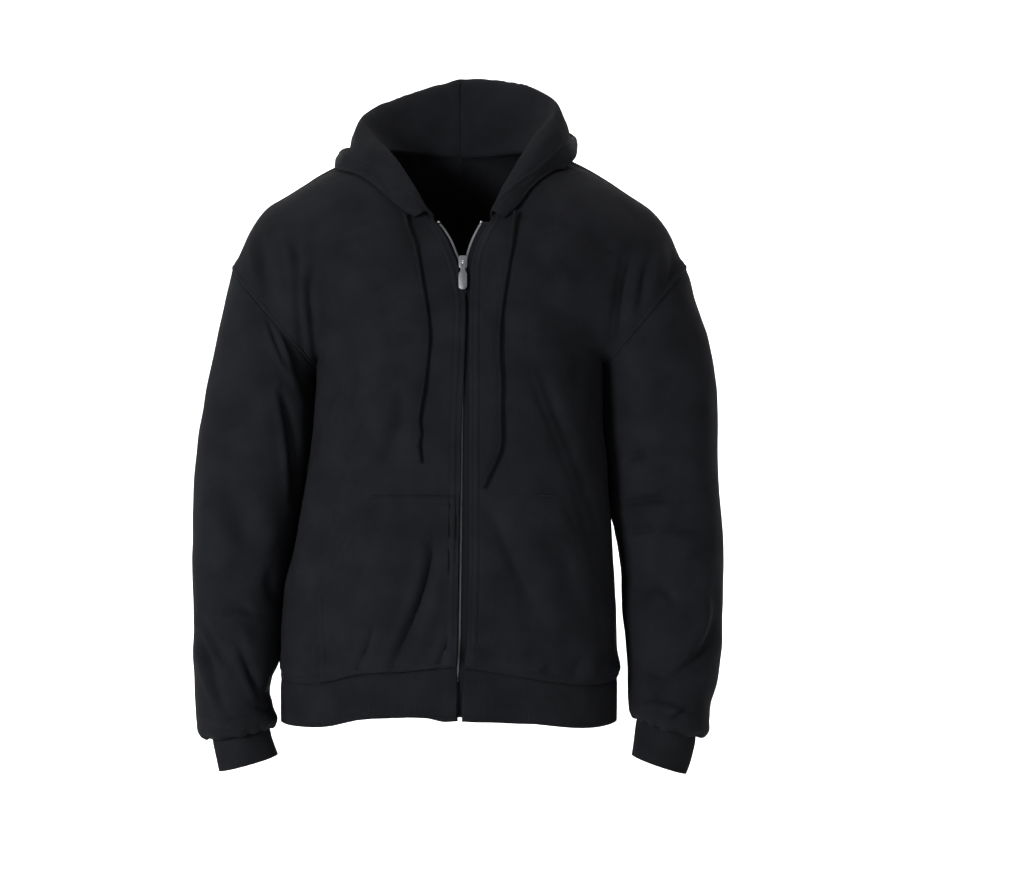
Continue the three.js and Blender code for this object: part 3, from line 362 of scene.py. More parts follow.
hoodHalves = np.array([  # share of the way to the back, rise of the left and right half, narrowing of each
    [0, 0, 0, 1, 1], [0.2, 4, 0, 0.96, 0.985], [0.4, 8, -5, 0.925, 0.97], [0.5, 8, -9, 0.92, 0.965],
    [0.65, 7, -12, 0.935, 0.965], [0.8, 5, -11, 0.95, 0.97], [0.92, 2, -5, 0.97, 0.98],
    [1, 0, 0, 1, 1]], float)
shoulderShape = {1: (6, -9), -1: (10, -7)}  # round of the shoulder, dip beside the arm hole


def atSight(x, y, z):  # where a spot of the front view lies at depth y
    near = 1 + y / view["distance"]
    across = view["x"] + (x - view["x"]) * near
    up = view["z"] + (z - view["z"]) * near
    return np.stack(np.broadcast_arrays(across, y, up), -1)


def smoothRow(rows, at):
    last = len(rows) - 1
    k = int(max(0, min(math.floor(at), last - 1)))
    f = at - k
    a, b, c, d = (rows[max(0, min(last, k + step))] for step in (-1, 0, 1, 2))
    return b + 0.5 * f * (c - a + f * (2 * a - 5 * b + 4 * c - d + (3 * b - a - 3 * c + d) * f))


def lookUp(rows, key):
    k = 0
    while k < len(rows) - 2 and rows[k + 1][0] < key:
        k += 1
    f = (key - rows[k][0]) / (rows[k + 1][0] - rows[k][0])
    return smoothRow(rows, k + max(0, min(1, f)))


def centreY(z, face):  # depth of the front or back in the middle
    return lookUp(centreProfile, z)[1 if face < 0 else 2]


def spreadEvenly(line, count):
    run = lineRun(line)
    return pointsAt(line, run, np.linspace(0, run[-1], count + 1))


def spreadFine(line, count, first, last, step=1.3):
    # as many points, but close together near the two ends, where the needle lines are
    run = lineRun(line)
    start, end = round(first / step), round(last / step)
    first, last = min(first, 0.2 * run[-1]), min(last, 0.4 * run[-1])
    want = np.concatenate([np.linspace(0, first, start, endpoint=False),
                           np.linspace(first, run[-1] - last, count - start - end, endpoint=False),
                           np.linspace(run[-1] - last, run[-1], end + 1)])
    return pointsAt(line, run, want)


def zipAt(z):
    return dict(zip(("z", "middle", "spread", "left", "right"), lookUp(zipLine, z)))


def zipEdgeX(side, z):
    spot = zipAt(z)
    return spot["middle"] + (spot["left"] if side > 0 else -spot["right"])


def armPoints(side, table, k, angles):
    outX, outZ, inX, inZ, depth, midY = smoothRow(table, k)
    power = 2 / (2 + 0.3 * min(1, k / 4))
    c = np.sign(np.cos(angles)) * np.abs(np.cos(angles)) ** power
    s = np.sign(np.sin(angles)) * np.abs(np.sin(angles)) ** power
    x = (outX + inX) / 2 + c * (outX - inX) / 2
    z = (outZ + inZ) / 2 + c * (outZ - inZ) / 2
    spots = atSight(side * x, midY, z)
    spots[:, 1] = midY - s * depth
    return spots


def necklinePoint(side, at):
    rows = neckline * [side, 1, 1]
    rows[0] = [zipEdgeX(side, -65), -86.5, -62]
    return smoothRow(rows, at)


def hemZ(side, x):
    return lookUp(hemSeam, min(200, abs(x)))[1 if side > 0 else 2]


def panelRow(side, face, r, columns):
    low, high = min(1, r / lowRows), max(0, (r - lowRows) / armRows)
    power, puff = 2.7 - 0.3 * low, 0
    seam = 1 if side > 0 else 2
    if r <= lowRows:
        z = (-603 if face < 0 else -626) * (1 - low) - 200 * low
        outZ = -627 + (underarmZ + 627) * low
        outer = np.array([side * lookUp(sideSeams, outZ)[seam], 0, outZ])
        corner = armPoints(side, sleeveTables[side], 0, np.array([math.pi]))[0]
        outer += (corner - [side * lookUp(sideSeams, underarmZ)[seam], 0, underarmZ]) * low ** 8
    else:
        up = r - lowRows
        z = -200 + ((135 if face < 0 else 230) * up / zipRows)
        outer = armPoints(side, sleeveTables[side], 0, np.array([math.pi * (1 - high)]))[0]
        outer[1] *= -face
        blend = min(1, up / 1.5)
        power = (2.2 - 0.7 * high) * blend + 2.4 * (1 - blend)
        puff = face * 16 * math.sin(math.pi * min(1, high * 1.05)) ** 0.8
    if r <= lowRows + zipRows:
        inner = np.array([zipEdgeX(side, z) if face < 0 else 0, centreY(z, face), z])
    else:
        f = (r - lowRows - zipRows) / (armRows - zipRows)
        inner = necklinePoint(side, 3 * f if face < 0 else 6 - 3 * f)
    turn = np.linspace(0, math.pi / 2, 120)
    s, c = np.sin(turn) ** (2 / power), np.clip(np.cos(turn), 0, 1) ** (2 / power)
    row = np.stack([inner[0] + (outer[0] - inner[0]) * s,
                    outer[1] + (inner[1] - outer[1]) * c + puff * np.sin(math.pi * s),
                    outer[2] + (inner[2] - outer[2]) * c], axis=1)
    if r <= lowRows and face < 0:
        drop = np.array([hemZ(side, x) for x in row[::7, 0]])
        drop = np.interp(s, s[::7], drop)
        row[:, 2] += (drop - (-627 + 24 * c)) * (1 - low) ** 2
    if r > lowRows:
        full, dip = shoulderShape[side]
        bump = full * np.exp(-((s - 0.79) / 0.12) ** 2) * np.minimum(1, 12 * (1 - s))
        hollow = dip * np.exp(-((s - 0.96) / 0.05) ** 2) * np.minimum(1, 30 * (1 - s))
        row[:, 2] += (bump + hollow) * high ** 4
    return spreadFine(row, columns, 16, 14)


def smoothStep(x):
    x = np.clip(x, 0, 1)
    return x * x * (3 - 2 * x)


def edgeFade(points, widths):
    # 0 on the sheet's left, right, bottom and top edges, 1 from these many millimetres inside
    u, v = runAlong(points, 1), runAlong(points, 0)
    fade = np.ones(points.shape[:2])
    for distance, width in zip((u, u[:, -1:] - u, v, v[-1:] - v), widths):
        if width:
            fade *= smoothStep(distance / width)
    return fade


def foldHeight(points, normals, folds):
    # ridge or trough along a bent line of the front or back view, with a lower roll on one side of it
    rise = np.zeros(points.shape[:2])
    near = 1 + points[..., 1:2] / view["distance"]
    sight = np.array([view["x"], view["z"]])
    flat = (points[..., [0, 2]] - sight) / near + sight
    for face, x1, z1, x2, z2, x3, z3, wide, height, roll in folds:
        best = np.full(points.shape[:2], 1e9)
        signed, place = np.zeros(points.shape[:2]), np.zeros(points.shape[:2])
        first, middle, last = (np.array(p, float) for p in ((x1, z1), (x2, z2), (x3, z3)))
        bend = 2 * middle - (first + last) / 2
        marks = [(1 - t) ** 2 * first + 2 * t * (1 - t) * bend + t * t * last for t in np.linspace(0, 1, 9)]
        for i, (a, b) in enumerate(zip(marks, marks[1:])):
            along = b - a
            t = np.clip(((flat - a) @ along) / (along @ along), 0, 1)
            gap = flat - a - t[..., None] * along
            away = np.linalg.norm(gap, axis=2)
            closer = away < best
            best = np.where(closer, away, best)
            place = np.where(closer, (i + t) / 8, place)
            hand = np.sign(gap[..., 0] * along[1] - gap[..., 1] * along[0])
            signed = np.where(closer, hand * away, signed)
        fading = np.sin(math.pi * (0.06 + 0.88 * place)) ** 0.8  # flatter towards its ends
        ridge = np.exp(-(best / wide) ** 2)
        beside = np.exp(-((signed - 1.7 * wide) / (0.9 * wide)) ** 2) * np.exp(-(best / (3 * wide)) ** 4)
        faced = np.clip(1.3 * face * normals[..., 1], 0, 1)
        rise += foldGain * height * fading * (ridge - roll * beside) * faced
    return rise


def softNoise(points, scale, seed):
    # a few fixed waves through space: the cloth's slight unevenness
    random = np.random.default_rng(seed)
    total = np.zeros(points.shape[:2])
    for _ in range(14):
        direction = random.normal(size=3)
        direction /= np.linalg.norm(direction)
        length = scale * random.uniform(0.6, 1.7)
        total += np.sin(points @ direction * math.tau / length + random.uniform(0, math.tau)) / 5
    return total


foldGain = 1.6
needle = {"depth": 0.9, "half": 1.2, "puff": 0.8}
seams = {  # distances of the needle lines from an edge
    "hem": (2.2, 8), "armhole": (1.8, 8), "zip": (5.5, 12), "neck": (1.6,),
    "pocket": (1.8, 8), "slant": (9.5,), "casing": (20, 26),
}
# face, then three spots x z that the bent line passes, half width, height, lower roll beside it
bodyFolds = [
    [-1, -175, -112, -188, -146, -176, -231, 5, -5, 0.5], [-1, -188, -136, -188, -171, -180, -212, 11, -3, 0],
    [-1, -171, -116, -178, -156, -169, -219, 10, 3, 0], [-1, -209, -84, -200, -121, -196, -216, 6, -3, 0.5],
    [-1, -252, -71, -245, -112, -239, -161, 7, -3.4, 0.5], [-1, -229, -94, -222, -138, -211, -188, 9, 2.4, 0],
    [-1, -191, -94, -194, -144, -191, -194, 7, 2.4, 0], [-1, -155, -94, -136, -99, -109, -109, 10, -1.4, 0],
    [-1, -199, -19, -168, -31, -136, -50, 20, -2.5, 0], [-1, -160, -275, -142, -246, -134, -234, 16, -2.5, 0],
    [-1, -134, -264, -149, -306, -171, -381, 7, -2.2, 0.6],
    [-1, -109, -294, -130, -344, -146, -381, 7, -1.8, 0.6],
    [-1, -69, -275, -80, -331, -109, -379, 10, -3, 0.6], [-1, -149, -384, -166, -438, -184, -481, 8, -2, 0.6],
    [-1, 216, -101, 208, -144, 199, -204, 6, -5, -0.5], [-1, 232, -109, 219, -144, 215, -179, 7, 2.4, 0],
    [-1, 239, -99, 230, -129, 226, -161, 6, -2.8, -0.4], [-1, 250, -94, 245, -125, 236, -156, 7, 2.4, 0],
    [-1, 265, -86, 269, -116, 259, -140, 7, -4, 0], [-1, 102, -246, 121, -294, 155, -381, 8, -3.6, -0.6],
    [-1, 145, -219, 161, -250, 176, -288, 18, -3, 0], [-1, 155, -379, 172, -431, 184, -476, 9, -3, -0.5],
    [-1, 176, -12, 208, -38, 239, -75, 18, -2.5, 0], [-1, 76, -156, 108, -194, 126, -231, 22, 2, 0],
    [-1, -34, -462, -44, -519, -84, -619, 7, -5, 0.7], [-1, -26, -481, -34, -544, -64, -611, 9, 2.5, 0],
    [-1, -104, -564, -114, -591, -125, -616, 5, -2.6, 0.6],
    [-1, -12, -579, -20, -599, -26, -616, 5, -2.4, 0.6],
    [-1, -114, -484, -126, -516, -139, -549, 12, -2.6, 0],
    [-1, -186, -581, -186, -600, -185, -621, 5, -1.8, 0],
    [-1, -158, -589, -161, -601, -164, -616, 5, -1.4, 0],
    [-1, -86, -481, -92, -531, -105, -581, 20, 2.5, 0], [-1, 38, -416, 61, -469, 94, -541, 11, -3.6, 0],
    [-1, 129, -475, 139, -506, 144, -546, 14, -2.6, 0], [-1, 24, -594, 39, -598, 59, -602, 12, -2.4, 0],
    [-1, 101, -625, 111, -618, 121, -611, 6, -2.8, 0], [-1, 139, -626, 149, -616, 156, -600, 8, -2.2, 0],
    [-1, 76, -444, 108, -494, 120, -556, 18, 2.2, 0], [-1, 51, -519, 64, -556, 76, -588, 16, 1.6, 0],
    [-1, 171, -531, 178, -575, 176, -616, 6, -1.8, 0], [1, -190, -130, -184, -215, -178, -300, 24, -7, 0],
    [1, 194, -140, 185, -225, 176, -310, 24, -7, 0], [1, -60, -330, -105, -445, -150, -560, 26, 5, 0],
    [1, 90, -300, 65, -430, 40, -560, 26, 5, 0], [1, 60, -600, 105, -580, 150, -560, 20, 5, 0],
    [1, -70, -600, -115, -588, -160, -575, 20, 5, 0], [1, -188, -130, -188, -215, -180, -300, 8, -4.5, 0.6],
    [1, 192, -140, 188, -220, 176, -320, 8, -4.5, -0.6], [1, -62, -330, -108, -435, -152, -560, 9, 3.6, 0.6],
    [1, 92, -300, 72, -430, 38, -566, 9, 3.6, 0.6], [1, 20, -250, 24, -340, 10, -450, 12, 2.2, 0.5],
    [1, 58, -604, 108, -592, 156, -556, 8, 3.4, 0.6], [1, -66, -604, -118, -592, -164, -570, 8, 3.4, 0.6],
    [1, 10, -560, 12, -590, 6, -618, 7, 2.4, 0.5], [1, -110, -150, -30, -168, 60, -158, 12, 2.4, 0.5],
    [1, 120, -210, 100, -300, 112, -390, 10, 2.6, 0.5]
]
sleeveFolds = [
    [-1, -225, -139, -211, -206, -182, -289, 7, -5, 0.6],
    [-1, -239, -171, -228, -209, -211, -245, 4, -2.4, 0.5],
    [-1, -221, -274, -210, -331, -205, -406, 6, -5.5, 0.5],
    [-1, -199, -281, -196, -344, -196, -419, 7, 3, 0],
    [-1, -291, -379, -274, -434, -254, -476, 18, -4.5, 0], [-1, -231, -494, -235, -510, -228, -531, 9, -4, 0],
    [-1, -301, -554, -279, -541, -259, -546, 6, -3.6, 0.5],
    [-1, -284, -559, -274, -569, -266, -589, 12, 3, 0],
    [-1, -324, -566, -312, -616, -291, -670, 6, -4, 0.6],
    [-1, -321, -549, -308, -584, -288, -611, 5, -3, 0.6],
    [-1, -276, -581, -259, -626, -241, -664, 6, -3.2, 0.6],
    [-1, -255, -661, -245, -668, -234, -666, 5, -2.8, 0], [-1, -316, -369, -311, -431, -316, -494, 22, 3, 0],
    [-1, -246, -406, -239, -444, -246, -488, 16, 3, 0], [-1, -284, -194, -291, -281, -294, -369, 26, -2, 0],
    [-1, -316, -679, -280, -684, -239, -671, 5, 3, 0], [-1, 206, -412, 236, -406, 265, -406, 5, -4.5, 0.6],
    [-1, 206, -444, 230, -444, 252, -436, 5, -3.4, 0.6], [-1, 214, -354, 224, -350, 236, -350, 5, -2.8, 0.5],
    [-1, 226, -386, 241, -378, 261, -369, 7, -3, 0.5], [-1, 254, -448, 274, -442, 298, -445, 6, -2.2, 0.5],
    [-1, 289, -481, 304, -472, 319, -466, 8, -2.6, 0.5], [-1, 232, -529, 249, -515, 269, -536, 6, -2.6, 0.4],
    [-1, 214, -482, 222, -488, 230, -492, 5, -2, 0.4], [-1, 319, -521, 312, -581, 251, -644, 8, -5, 0.6],
    [-1, 301, -556, 289, -588, 256, -616, 16, 3, 0], [-1, 234, -616, 246, -624, 264, -626, 6, -1.8, 0.4],
    [-1, 266, -681, 276, -674, 288, -666, 4, -3.6, 0.4], [-1, 236, -194, 241, -219, 246, -250, 14, -2, 0],
    [-1, 266, -406, 256, -426, 249, -444, 9, 2, 0], [-1, 216, -331, 226, -312, 245, -306, 12, -2.4, 0],
    [-1, 289, -256, 301, -319, 301, -381, 24, 2.4, 0], [-1, 226, -664, 254, -664, 289, -679, 5, 3, 0],
    [1, -310, -400, -268, -425, -226, -450, 18, 5, 0], [1, -308, -470, -274, -450, -240, -430, 18, -5, 0],
    [1, -316, -600, -283, -620, -250, -640, 18, 5, 0], [1, 310, -390, 260, -415, 210, -440, 18, 5, 0],
    [1, 306, -470, 263, -445, 220, -420, 18, -5, 0], [1, 308, -600, 272, -618, 236, -636, 18, 5, 0],
    [1, -312, -398, -268, -428, -222, -452, 7, 4, 0.7], [1, -310, -472, -274, -454, -236, -426, 7, -4, 0.7],
    [1, -316, -598, -284, -624, -246, -642, 7, 4, 0.7], [1, -300, -530, -270, -524, -240, -536, 6, 3, 0.6],
    [1, -296, -240, -260, -286, -222, -330, 10, -3.4, 0.6],
    [1, -320, -660, -288, -672, -250, -664, 6, -3.4, 0.6], [1, 312, -388, 261, -420, 206, -442, 7, 4, 0.7],
    [1, 308, -472, 264, -448, 216, -416, 7, -4, 0.7], [1, 308, -598, 273, -622, 232, -638, 7, 4, 0.7],
    [1, 300, -530, 268, -526, 232, -540, 6, 3, 0.6], [1, 290, -240, 260, -280, 226, -326, 10, -3.4, 0.6],
    [1, 306, -664, 274, -674, 236, -660, 6, -3.4, 0.6]
]
hoodFolds = [
    [-1, 128, 10, 118, -14, 96, -30, 6, -2, 0], [-1, -136, 14, -128, -10, -108, -26, 6, -2, 0],
]

body = {  # front and back: rows a step of the tables, columns
    -1: (7, 130), 1: (5, 90), "wall": 2.0, "uneven": 1.0, "pucker": 1.0, "blouse": 3.0,
}


def panelGrid(side, face):  # columns run from the middle to the side
    finer, columns = body[face]
    steps = [r for r in np.arange(0, lowRows + armRows + 0.001, 1 / finer) if r == 0 or r > 0.6]
    rows = np.concatenate([[0], np.linspace(0.05, 0.55, 10), steps[1:]])
    return np.array([panelRow(side, face, r, columns) for r in rows]), int(np.argmax(rows > lowRows - 0.01))


def needleLines(distance, lines):
    # the cloth drawn in along rows of stitches, and the seam allowance under it raised between them
    rise = -sum(needle["depth"] * np.exp(-((distance - line) / needle["half"]) ** 2) for line in lines)
    middle, span = (lines[0] + lines[-1]) / 2, (lines[-1] - lines[0]) / 2 + 0.8
    return rise + needle["puff"] * np.exp(-((distance - middle) / span) ** 4)


def foldPanel(points, armhole, side, face):
    normals = gridNormals(points) * -face * side
    rise = foldHeight(points, normals, bodyFolds)
    rise += (softNoise(points, 90, 5 + face) * 0.9 + softNoise(points, 30, 9) * 0.22) * body["uneven"]
    up, across = runAlong(points, 0), runAlong(points, 1)
    if face < 0:
        rise *= edgeFade(points, (12, 12, 10, 14))
        rise += needleLines(across, seams["zip"])
    else:  # the halves of the back are one piece below the neck, so only its neck edge stays in place
        normals[:, 0, 0] = 0
        level = np.clip((np.arange(len(points))[:, None] - armhole) / body[face][0] - zipRows, -3, 0)
        rise *= 1 - smoothStep(level / 3 + 1) * (1 - edgeFade(points, (24, 0, 0, 0)))
        rise *= edgeFade(points, (0, 16, 16, 14))
    rise += needleLines(up, seams["hem"])
    rise[armhole:] += needleLines(across[armhole:, -1:] - across[armhole:], seams["armhole"])
    pucker = np.sin(across / 9.5 + 2 * np.sin(across / 31)) * np.exp(-((up - 11) / 9) ** 2)
    rise += body["pucker"] * pucker * smoothStep(up / 9)
    rise += body["blouse"] * np.exp(-((up - 16) / 12) ** 2) * smoothStep(up / 14)
    return points + normals * rise[..., None]


sleeve = {"rows": 180, "columns": 140, "wall": 2.0, "uneven": 1.0, "gather": 1.5}
touch = {  # height, how far the sleeve's inner side leans to the body
    1: np.array([
        [-700, 0], [-440, 0], [-428, 2.5], [-415, 3.8], [-360, 3.2], [-325, 3.8], [-290, 4.5], [-250, 4.5],
        [-235, 0]]),
    -1: np.array([
        [-655, 0], [-642, -4], [-625, -5], [-612, 0], [-600, 3], [-585, 2.4], [-560, 2.8], [-512, 2.8],
        [-500, 0], [-335, 0], [-320, 2], [-280, 3], [-268, 4.2], [-258, 4.5], [-245, 0]])}
rib = {"wall": 3.0, "pitch": 2.6, "height": 0.2, "perRib": 4, "rows": 14, "cuffRibs": 82}


def tubeRows(side, table, count, angles):
    last = len(table) - 1
    return [armPoints(side, table, last * k / count, angles) for k in range(count + 1)]


def sleeveGrid(side):
    table = sleeveTables[side]
    angles = np.linspace(0, math.tau, sleeve["columns"], endpoint=False)
    rows = tubeRows(side, table, sleeve["rows"], angles)
    outX, outZ, inX, inZ = table[0][:4]
    down = np.array([side * (inZ - outZ), 0, -(inX - outX)])
    rows[0] = rows[0] - down / np.linalg.norm(down) * 1.3 * seamGap
    mouth = armPoints(side, cuffTables[side], 0, angles)
    out = mouth - mouth.mean(axis=0)
    seam = mouth + out / np.linalg.norm(out, axis=1, keepdims=True) * 1.2 * seamGap + [0, 0, seamGap]
    last = rows[-1]
    rows += [last * (1 - f) + seam * f for f in (0.25, 0.5, 0.75, 1)]
    points = np.array(rows)
    normals = gridNormals(points, True) * side
    rise = foldHeight(points, normals, sleeveFolds)
    rise += (softNoise(points, 80, 21 + side) + softNoise(points, 28, 23) * 0.24) * sleeve["uneven"]
    rise *= edgeFade(points, (0, 0, 10, 3))
    level = np.linspace(0, 1, len(points))[:, None]
    lean = np.interp(points[:, :, 2], *touch[side].T) * np.exp(-((angles - math.pi) / 0.45) ** 2)
    points[..., 0] -= side * lean
    gather = np.sin(angles * 13 + 1.7 * np.sin(angles * 3)) * sleeve["gather"]
    rise += gather[None] * np.exp(-((level - 0.955) / 0.03) ** 2)
    return points + normals * rise[..., None]


def cuffGrid(side):
    columns = rib["cuffRibs"] * rib["perRib"]
    angles = np.linspace(0, math.tau, columns, endpoint=False)
    table = cuffTables[side]
    points = np.array(tubeRows(side, table, rib["rows"], angles))
    normals = gridNormals(points, True) * side
    wave = np.cos(np.arange(columns) * math.tau / rib["perRib"]) * rib["height"]
    level = np.linspace(0, 1, len(points))[:, None]
    return points + normals * (wave[None] - 1.2 * np.exp(-(level / 0.12) ** 2))[..., None]


def hemGrid():
    halves = [panelRow(side, face, 0, 300) for side, face in ((1, -1), (1, 1), (-1, 1), (-1, -1))]
    halves[1], halves[3] = halves[1][::-1], halves[3][::-1]
    row = np.concatenate([halves[0][:-1], halves[1][:-1], halves[2][:-1], halves[3]])
    row = spreadEvenly(row, int(lineRun(row)[-1] / rib["pitch"]) * rib["perRib"])
    row[:, 2] -= seamGap
    front = np.array([lookUp(hemDrops, x)[1] for x in row[:, 0]])
    drop = np.where(row[:, 1] < 0, front, 60 - 8 * (row[:, 0] / 205) ** 2)
    rows = []
    for f in np.linspace(0, 1, rib["rows"] + 1):
        level = row * [1 - 0.005 * f, 1 - 0.035 * f, 1]
        level[:, 2] = row[:, 2] - drop * f
        level[0, 0], level[-1, 0] = zipEdgeX(1, level[0, 2]), zipEdgeX(-1, level[-1, 2])
        rows.append(level)
    points = np.array(rows)
    normals = -gridNormals(points)
    wave = np.cos(np.arange(points.shape[1]) * math.tau / rib["perRib"]) * rib["height"]
    level = np.linspace(0, 1, len(points))[:, None]
    rise = (wave[None] + softNoise(points, 70, 31) * 0.9) * edgeFade(points, (6, 6, 0, 0))
    return points + normals * (rise - np.exp(-(level / 0.1) ** 2))[..., None]


hood = {"rows": 120, "columns": 96, "wall": 2.0, "passes": 6, "uneven": 1.2}


def hoodGrid(side, trees):
    rows = []
    for f in np.linspace(0, 1, hood["rows"] + 1):
        low = necklinePoint(side, 6 * f)
        flat = np.array([low[0], low[1] + 5, 0])
        flat /= np.linalg.norm(flat)
        halves = lookUp(hoodHalves, f)
        lift, tuck = halves[[1, 3] if side > 0 else [2, 4]]
        table = smoothRow(hoodStations, (len(hoodStations) - 1) * f).reshape(5, 3)
        marks = [low + (flat * -0.6 + [0, 0, 1]) / math.hypot(0.6, 1) * 1.2 * seamGap]
        for i, (x, y, z) in enumerate(table):
            lower = i == 2 and f > 0.6
            marks.append(atSight(side * x * (tuck if i > 2 else 1), y, z + (0 if lower else lift)))
        line = np.array([smoothRow(np.array(marks), 5 * i / 80) for i in range(81)])
        rows.append(spreadFine(line, hood["columns"], 4, 30))
    points = np.array(rows)
    points[-1, :, 0] = side * seamGap / 2
    normals = gridNormals(points) * side
    rise = foldHeight(points, normals, hoodFolds)
    rise += (softNoise(points, 60, 41 + side) + softNoise(points, 22, 43) * 0.25) * hood["uneven"]
    rise *= edgeFade(points, (4, 0, 0, 14))
    across = runAlong(points, 1)
    rise += needleLines(across[:, -1:] - across, seams["casing"])
    points += normals * rise[..., None]
    return restOn(points, trees, body["wall"] + 1 + seamGap)


def restOn(points, trees, need):
    # points are pushed out of the panels under them and the cloth round them smoothed; its seams stay
    for _ in range(hood["passes"]):
        moved = np.zeros(points.shape[:2], bool)
        for r in range(1, len(points) - 1):
            for c in range(1, points.shape[1]):
                spot = Vector(points[r, c] * mm)
                for tree in trees:
                    place, normal, _, _ = tree.find_nearest(spot, 14 * mm)
                    height = (spot - place).dot(normal) / mm if place is not None else need
                    if height < need:
                        spot += normal * (need - height) * mm
                        moved[max(1, r - 2):r + 3, max(1, c - 2):c + 3] = True
                points[r, c] = np.array(spot) / mm
        moved[-1] = moved[:, -1] = False
        around = sum(np.roll(points, step, axis) for axis in (0, 1) for step in (1, -1)) / 4
        points[moved] = 0.5 * points[moved] + 0.5 * around[moved]
    return points


pocket = {"rows": 100, "columns": 84, "wall": 2.0, "gape": 2.2}
pocketCorners = {1: [(169, -606), (176, -508), (117, -398)], -1: [(164, -606), (168, -508), (101, -398)]}


def closerAtEnd(count, bound, fine):  # shares from 0 to 1, of which the last few are close together
    plain = np.linspace(0, bound, count - fine, endpoint=False)
    return np.concatenate([plain, np.linspace(bound, 1, fine + 1)])


def pocketGrid(side, tree):
    foot, turn, top = pocketCorners[side]
    levels = closerAtEnd(pocket["rows"], 0.94, 12)
    shares = closerAtEnd(pocket["columns"], 0.9, 17)
    points = np.zeros((len(levels), len(shares), 3))
    for r, f in enumerate(levels):
        z0 = -601 + (top[1] + 601) * f
        slanted = z0 >= turn[1]
        a, b = (turn, top) if slanted else (foot, turn)
        outer = side * (a[0] + (b[0] - a[0]) * (z0 - a[1]) / (b[1] - a[1]))
        inner = zipEdgeX(side, z0) + side * 1.2
        lean = math.hypot(b[0] - a[0], b[1] - a[1]) / (b[1] - a[1])
        slack = math.sin(math.pi * max(0, (z0 - turn[1]) / (top[1] - turn[1]))) * pocket["gape"]
        for c, g in enumerate(shares):
            x = inner + (outer - inner) * g
            z = z0 + (hemZ(side, x) + 603) * (1 - f) ** 1.5
            place, normal, _, _ = tree.ray_cast(Vector((x, -400, z)) * mm, Vector((0, 1, 0)))
            if place is None:
                place, normal, _, _ = tree.find_nearest(Vector((x, -120, z)) * mm)
            sewn = min(1, 14 * (1 - f), 14 * f, 18 * g, 1 if slanted else 18 * (1 - g))
            stitched = needleLines((1 - f) * (top[1] + 601), seams["pocket"])
            stitched += needleLines(abs(outer - x) / lean, seams["slant" if slanted else "pocket"])
            height = 2.1 + 0.8 * sewn + slack * g ** 6 + stitched * min(1, 12 * f)
            points[r, c] = np.array(place) / mm + np.array(normal) * height
    return points, int(np.argmax(levels * (top[1] + 601) >= turn[1] + 601))


stitch = {"length": 2.5, "pitch": 3.3, "width": 0.55, "proud": 0.1}


def insetLine(points, outward, edge, distance, ring=False):
    # the line on the cloth at one distance in from an edge, with the direction out of the cloth
    normals = gridNormals(points, ring) * outward
    if edge in ("bottom", "top"):
        points, normals = np.swapaxes(points, 0, 1), np.swapaxes(normals, 0, 1)
    if edge in ("right", "top"):
        points, normals = points[:, ::-1], normals[:, ::-1]
    spots = []
    for row, out in zip(points, normals):
        run = lineRun(row)
        spots.append(pointsAt(np.concatenate([row, out], axis=1), run, distance))
    return np.array(spots)


def addStitches(bm, line, wall):
    spots, outs = line[:, :3], line[:, 3:]
    run = lineRun(spots)
    for at in np.arange(stitch["pitch"], run[-1] - stitch["pitch"] / 2, stitch["pitch"]):
        p, q = (Vector(pointsAt(spots, run, at + d)) for d in (-0.5, 0.5))
        out = Vector(pointsAt(outs, run, at)).normalized()
        along = (q - p).normalized()
        across = along.cross(out).normalized()
        out = across.cross(along)
        long, thick = stitch["length"] / 2, stitch["width"] / 2
        turn = Matrix((along * long, across * thick, out * thick)).transposed().to_4x4()
        turn.translation = (p + q) / 2 + out * (wall / 2 + stitch["proud"])
        bmesh.ops.create_icosphere(bm, subdivisions=1, radius=1, matrix=Matrix.Scale(mm, 4) @ turn)


def stitchPiece(name, lines, wall=2.0):
    bm = bmesh.new()
    for line in lines:
        addStitches(bm, line, wall)
    piece = finishMesh(name, bm, thread)
    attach(piece, "garment")


teeth = {"pitch": 2.3, "tall": 1.25, "wide": 2.6, "deep": 2.5, "mesh": 0.35, "round": 0.18}
tapes = {"wide": 13, "wall": 0.8, "rows": 120, "columns": 6, "lean": 0.04, "corded": 0.35}


def zipPath(side, top, foot, shift=0.0):
    path = []
    for z in np.linspace(top, foot, 301):
        spot = zipAt(z)
        path.append([spot["middle"] + side * (spot["spread"] + shift), centreY(z, -1) + chain["behind"], z])
    return np.array(path)


def makeTeeth(side, word):
    bm = bmesh.new()
    path = zipPath(side, -69, -656, -teeth["mesh"])
    run = lineRun(path)
    for at in np.arange(teeth["pitch"] * (0.5 if side > 0 else 1.0), run[-1], teeth["pitch"]):
        p, q = (Vector(pointsAt(path, run, at + d)) for d in (0, 1))
        down = (q - p).normalized()
        across = Vector((side, 0, 0))
        across = (across - down * across.dot(down)).normalized()
        out = down.cross(across)
        sizes = (across * teeth["wide"], out * teeth["deep"], down * teeth["tall"])
        turn = Matrix(sizes).transposed().to_4x4()
        turn.translation = p
        made = bmesh.ops.create_cube(bm, size=1, matrix=Matrix.Scale(mm, 4) @ turn)
        for vert in made["verts"]:  # the inner end is slimmer, to mesh with its neighbours
            local = vert.co / mm - p
            if local.dot(across) < 0:
                vert.co -= (down * local.dot(down) * 0.35 + out * local.dot(out) * 0.3) * mm
    bmesh.ops.bevel(bm, geom=list(bm.edges), offset=teeth["round"] * mm, segments=1, profile=0.5,
                    affect="EDGES", material=-1)
    bmesh.ops.recalc_face_normals(bm, faces=bm.faces)
    piece = finishMesh(f"zipTeeth_{word}", bm, metal, smooth=False)
    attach(piece, "garment")
    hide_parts(f"zip_teeth_{word}")


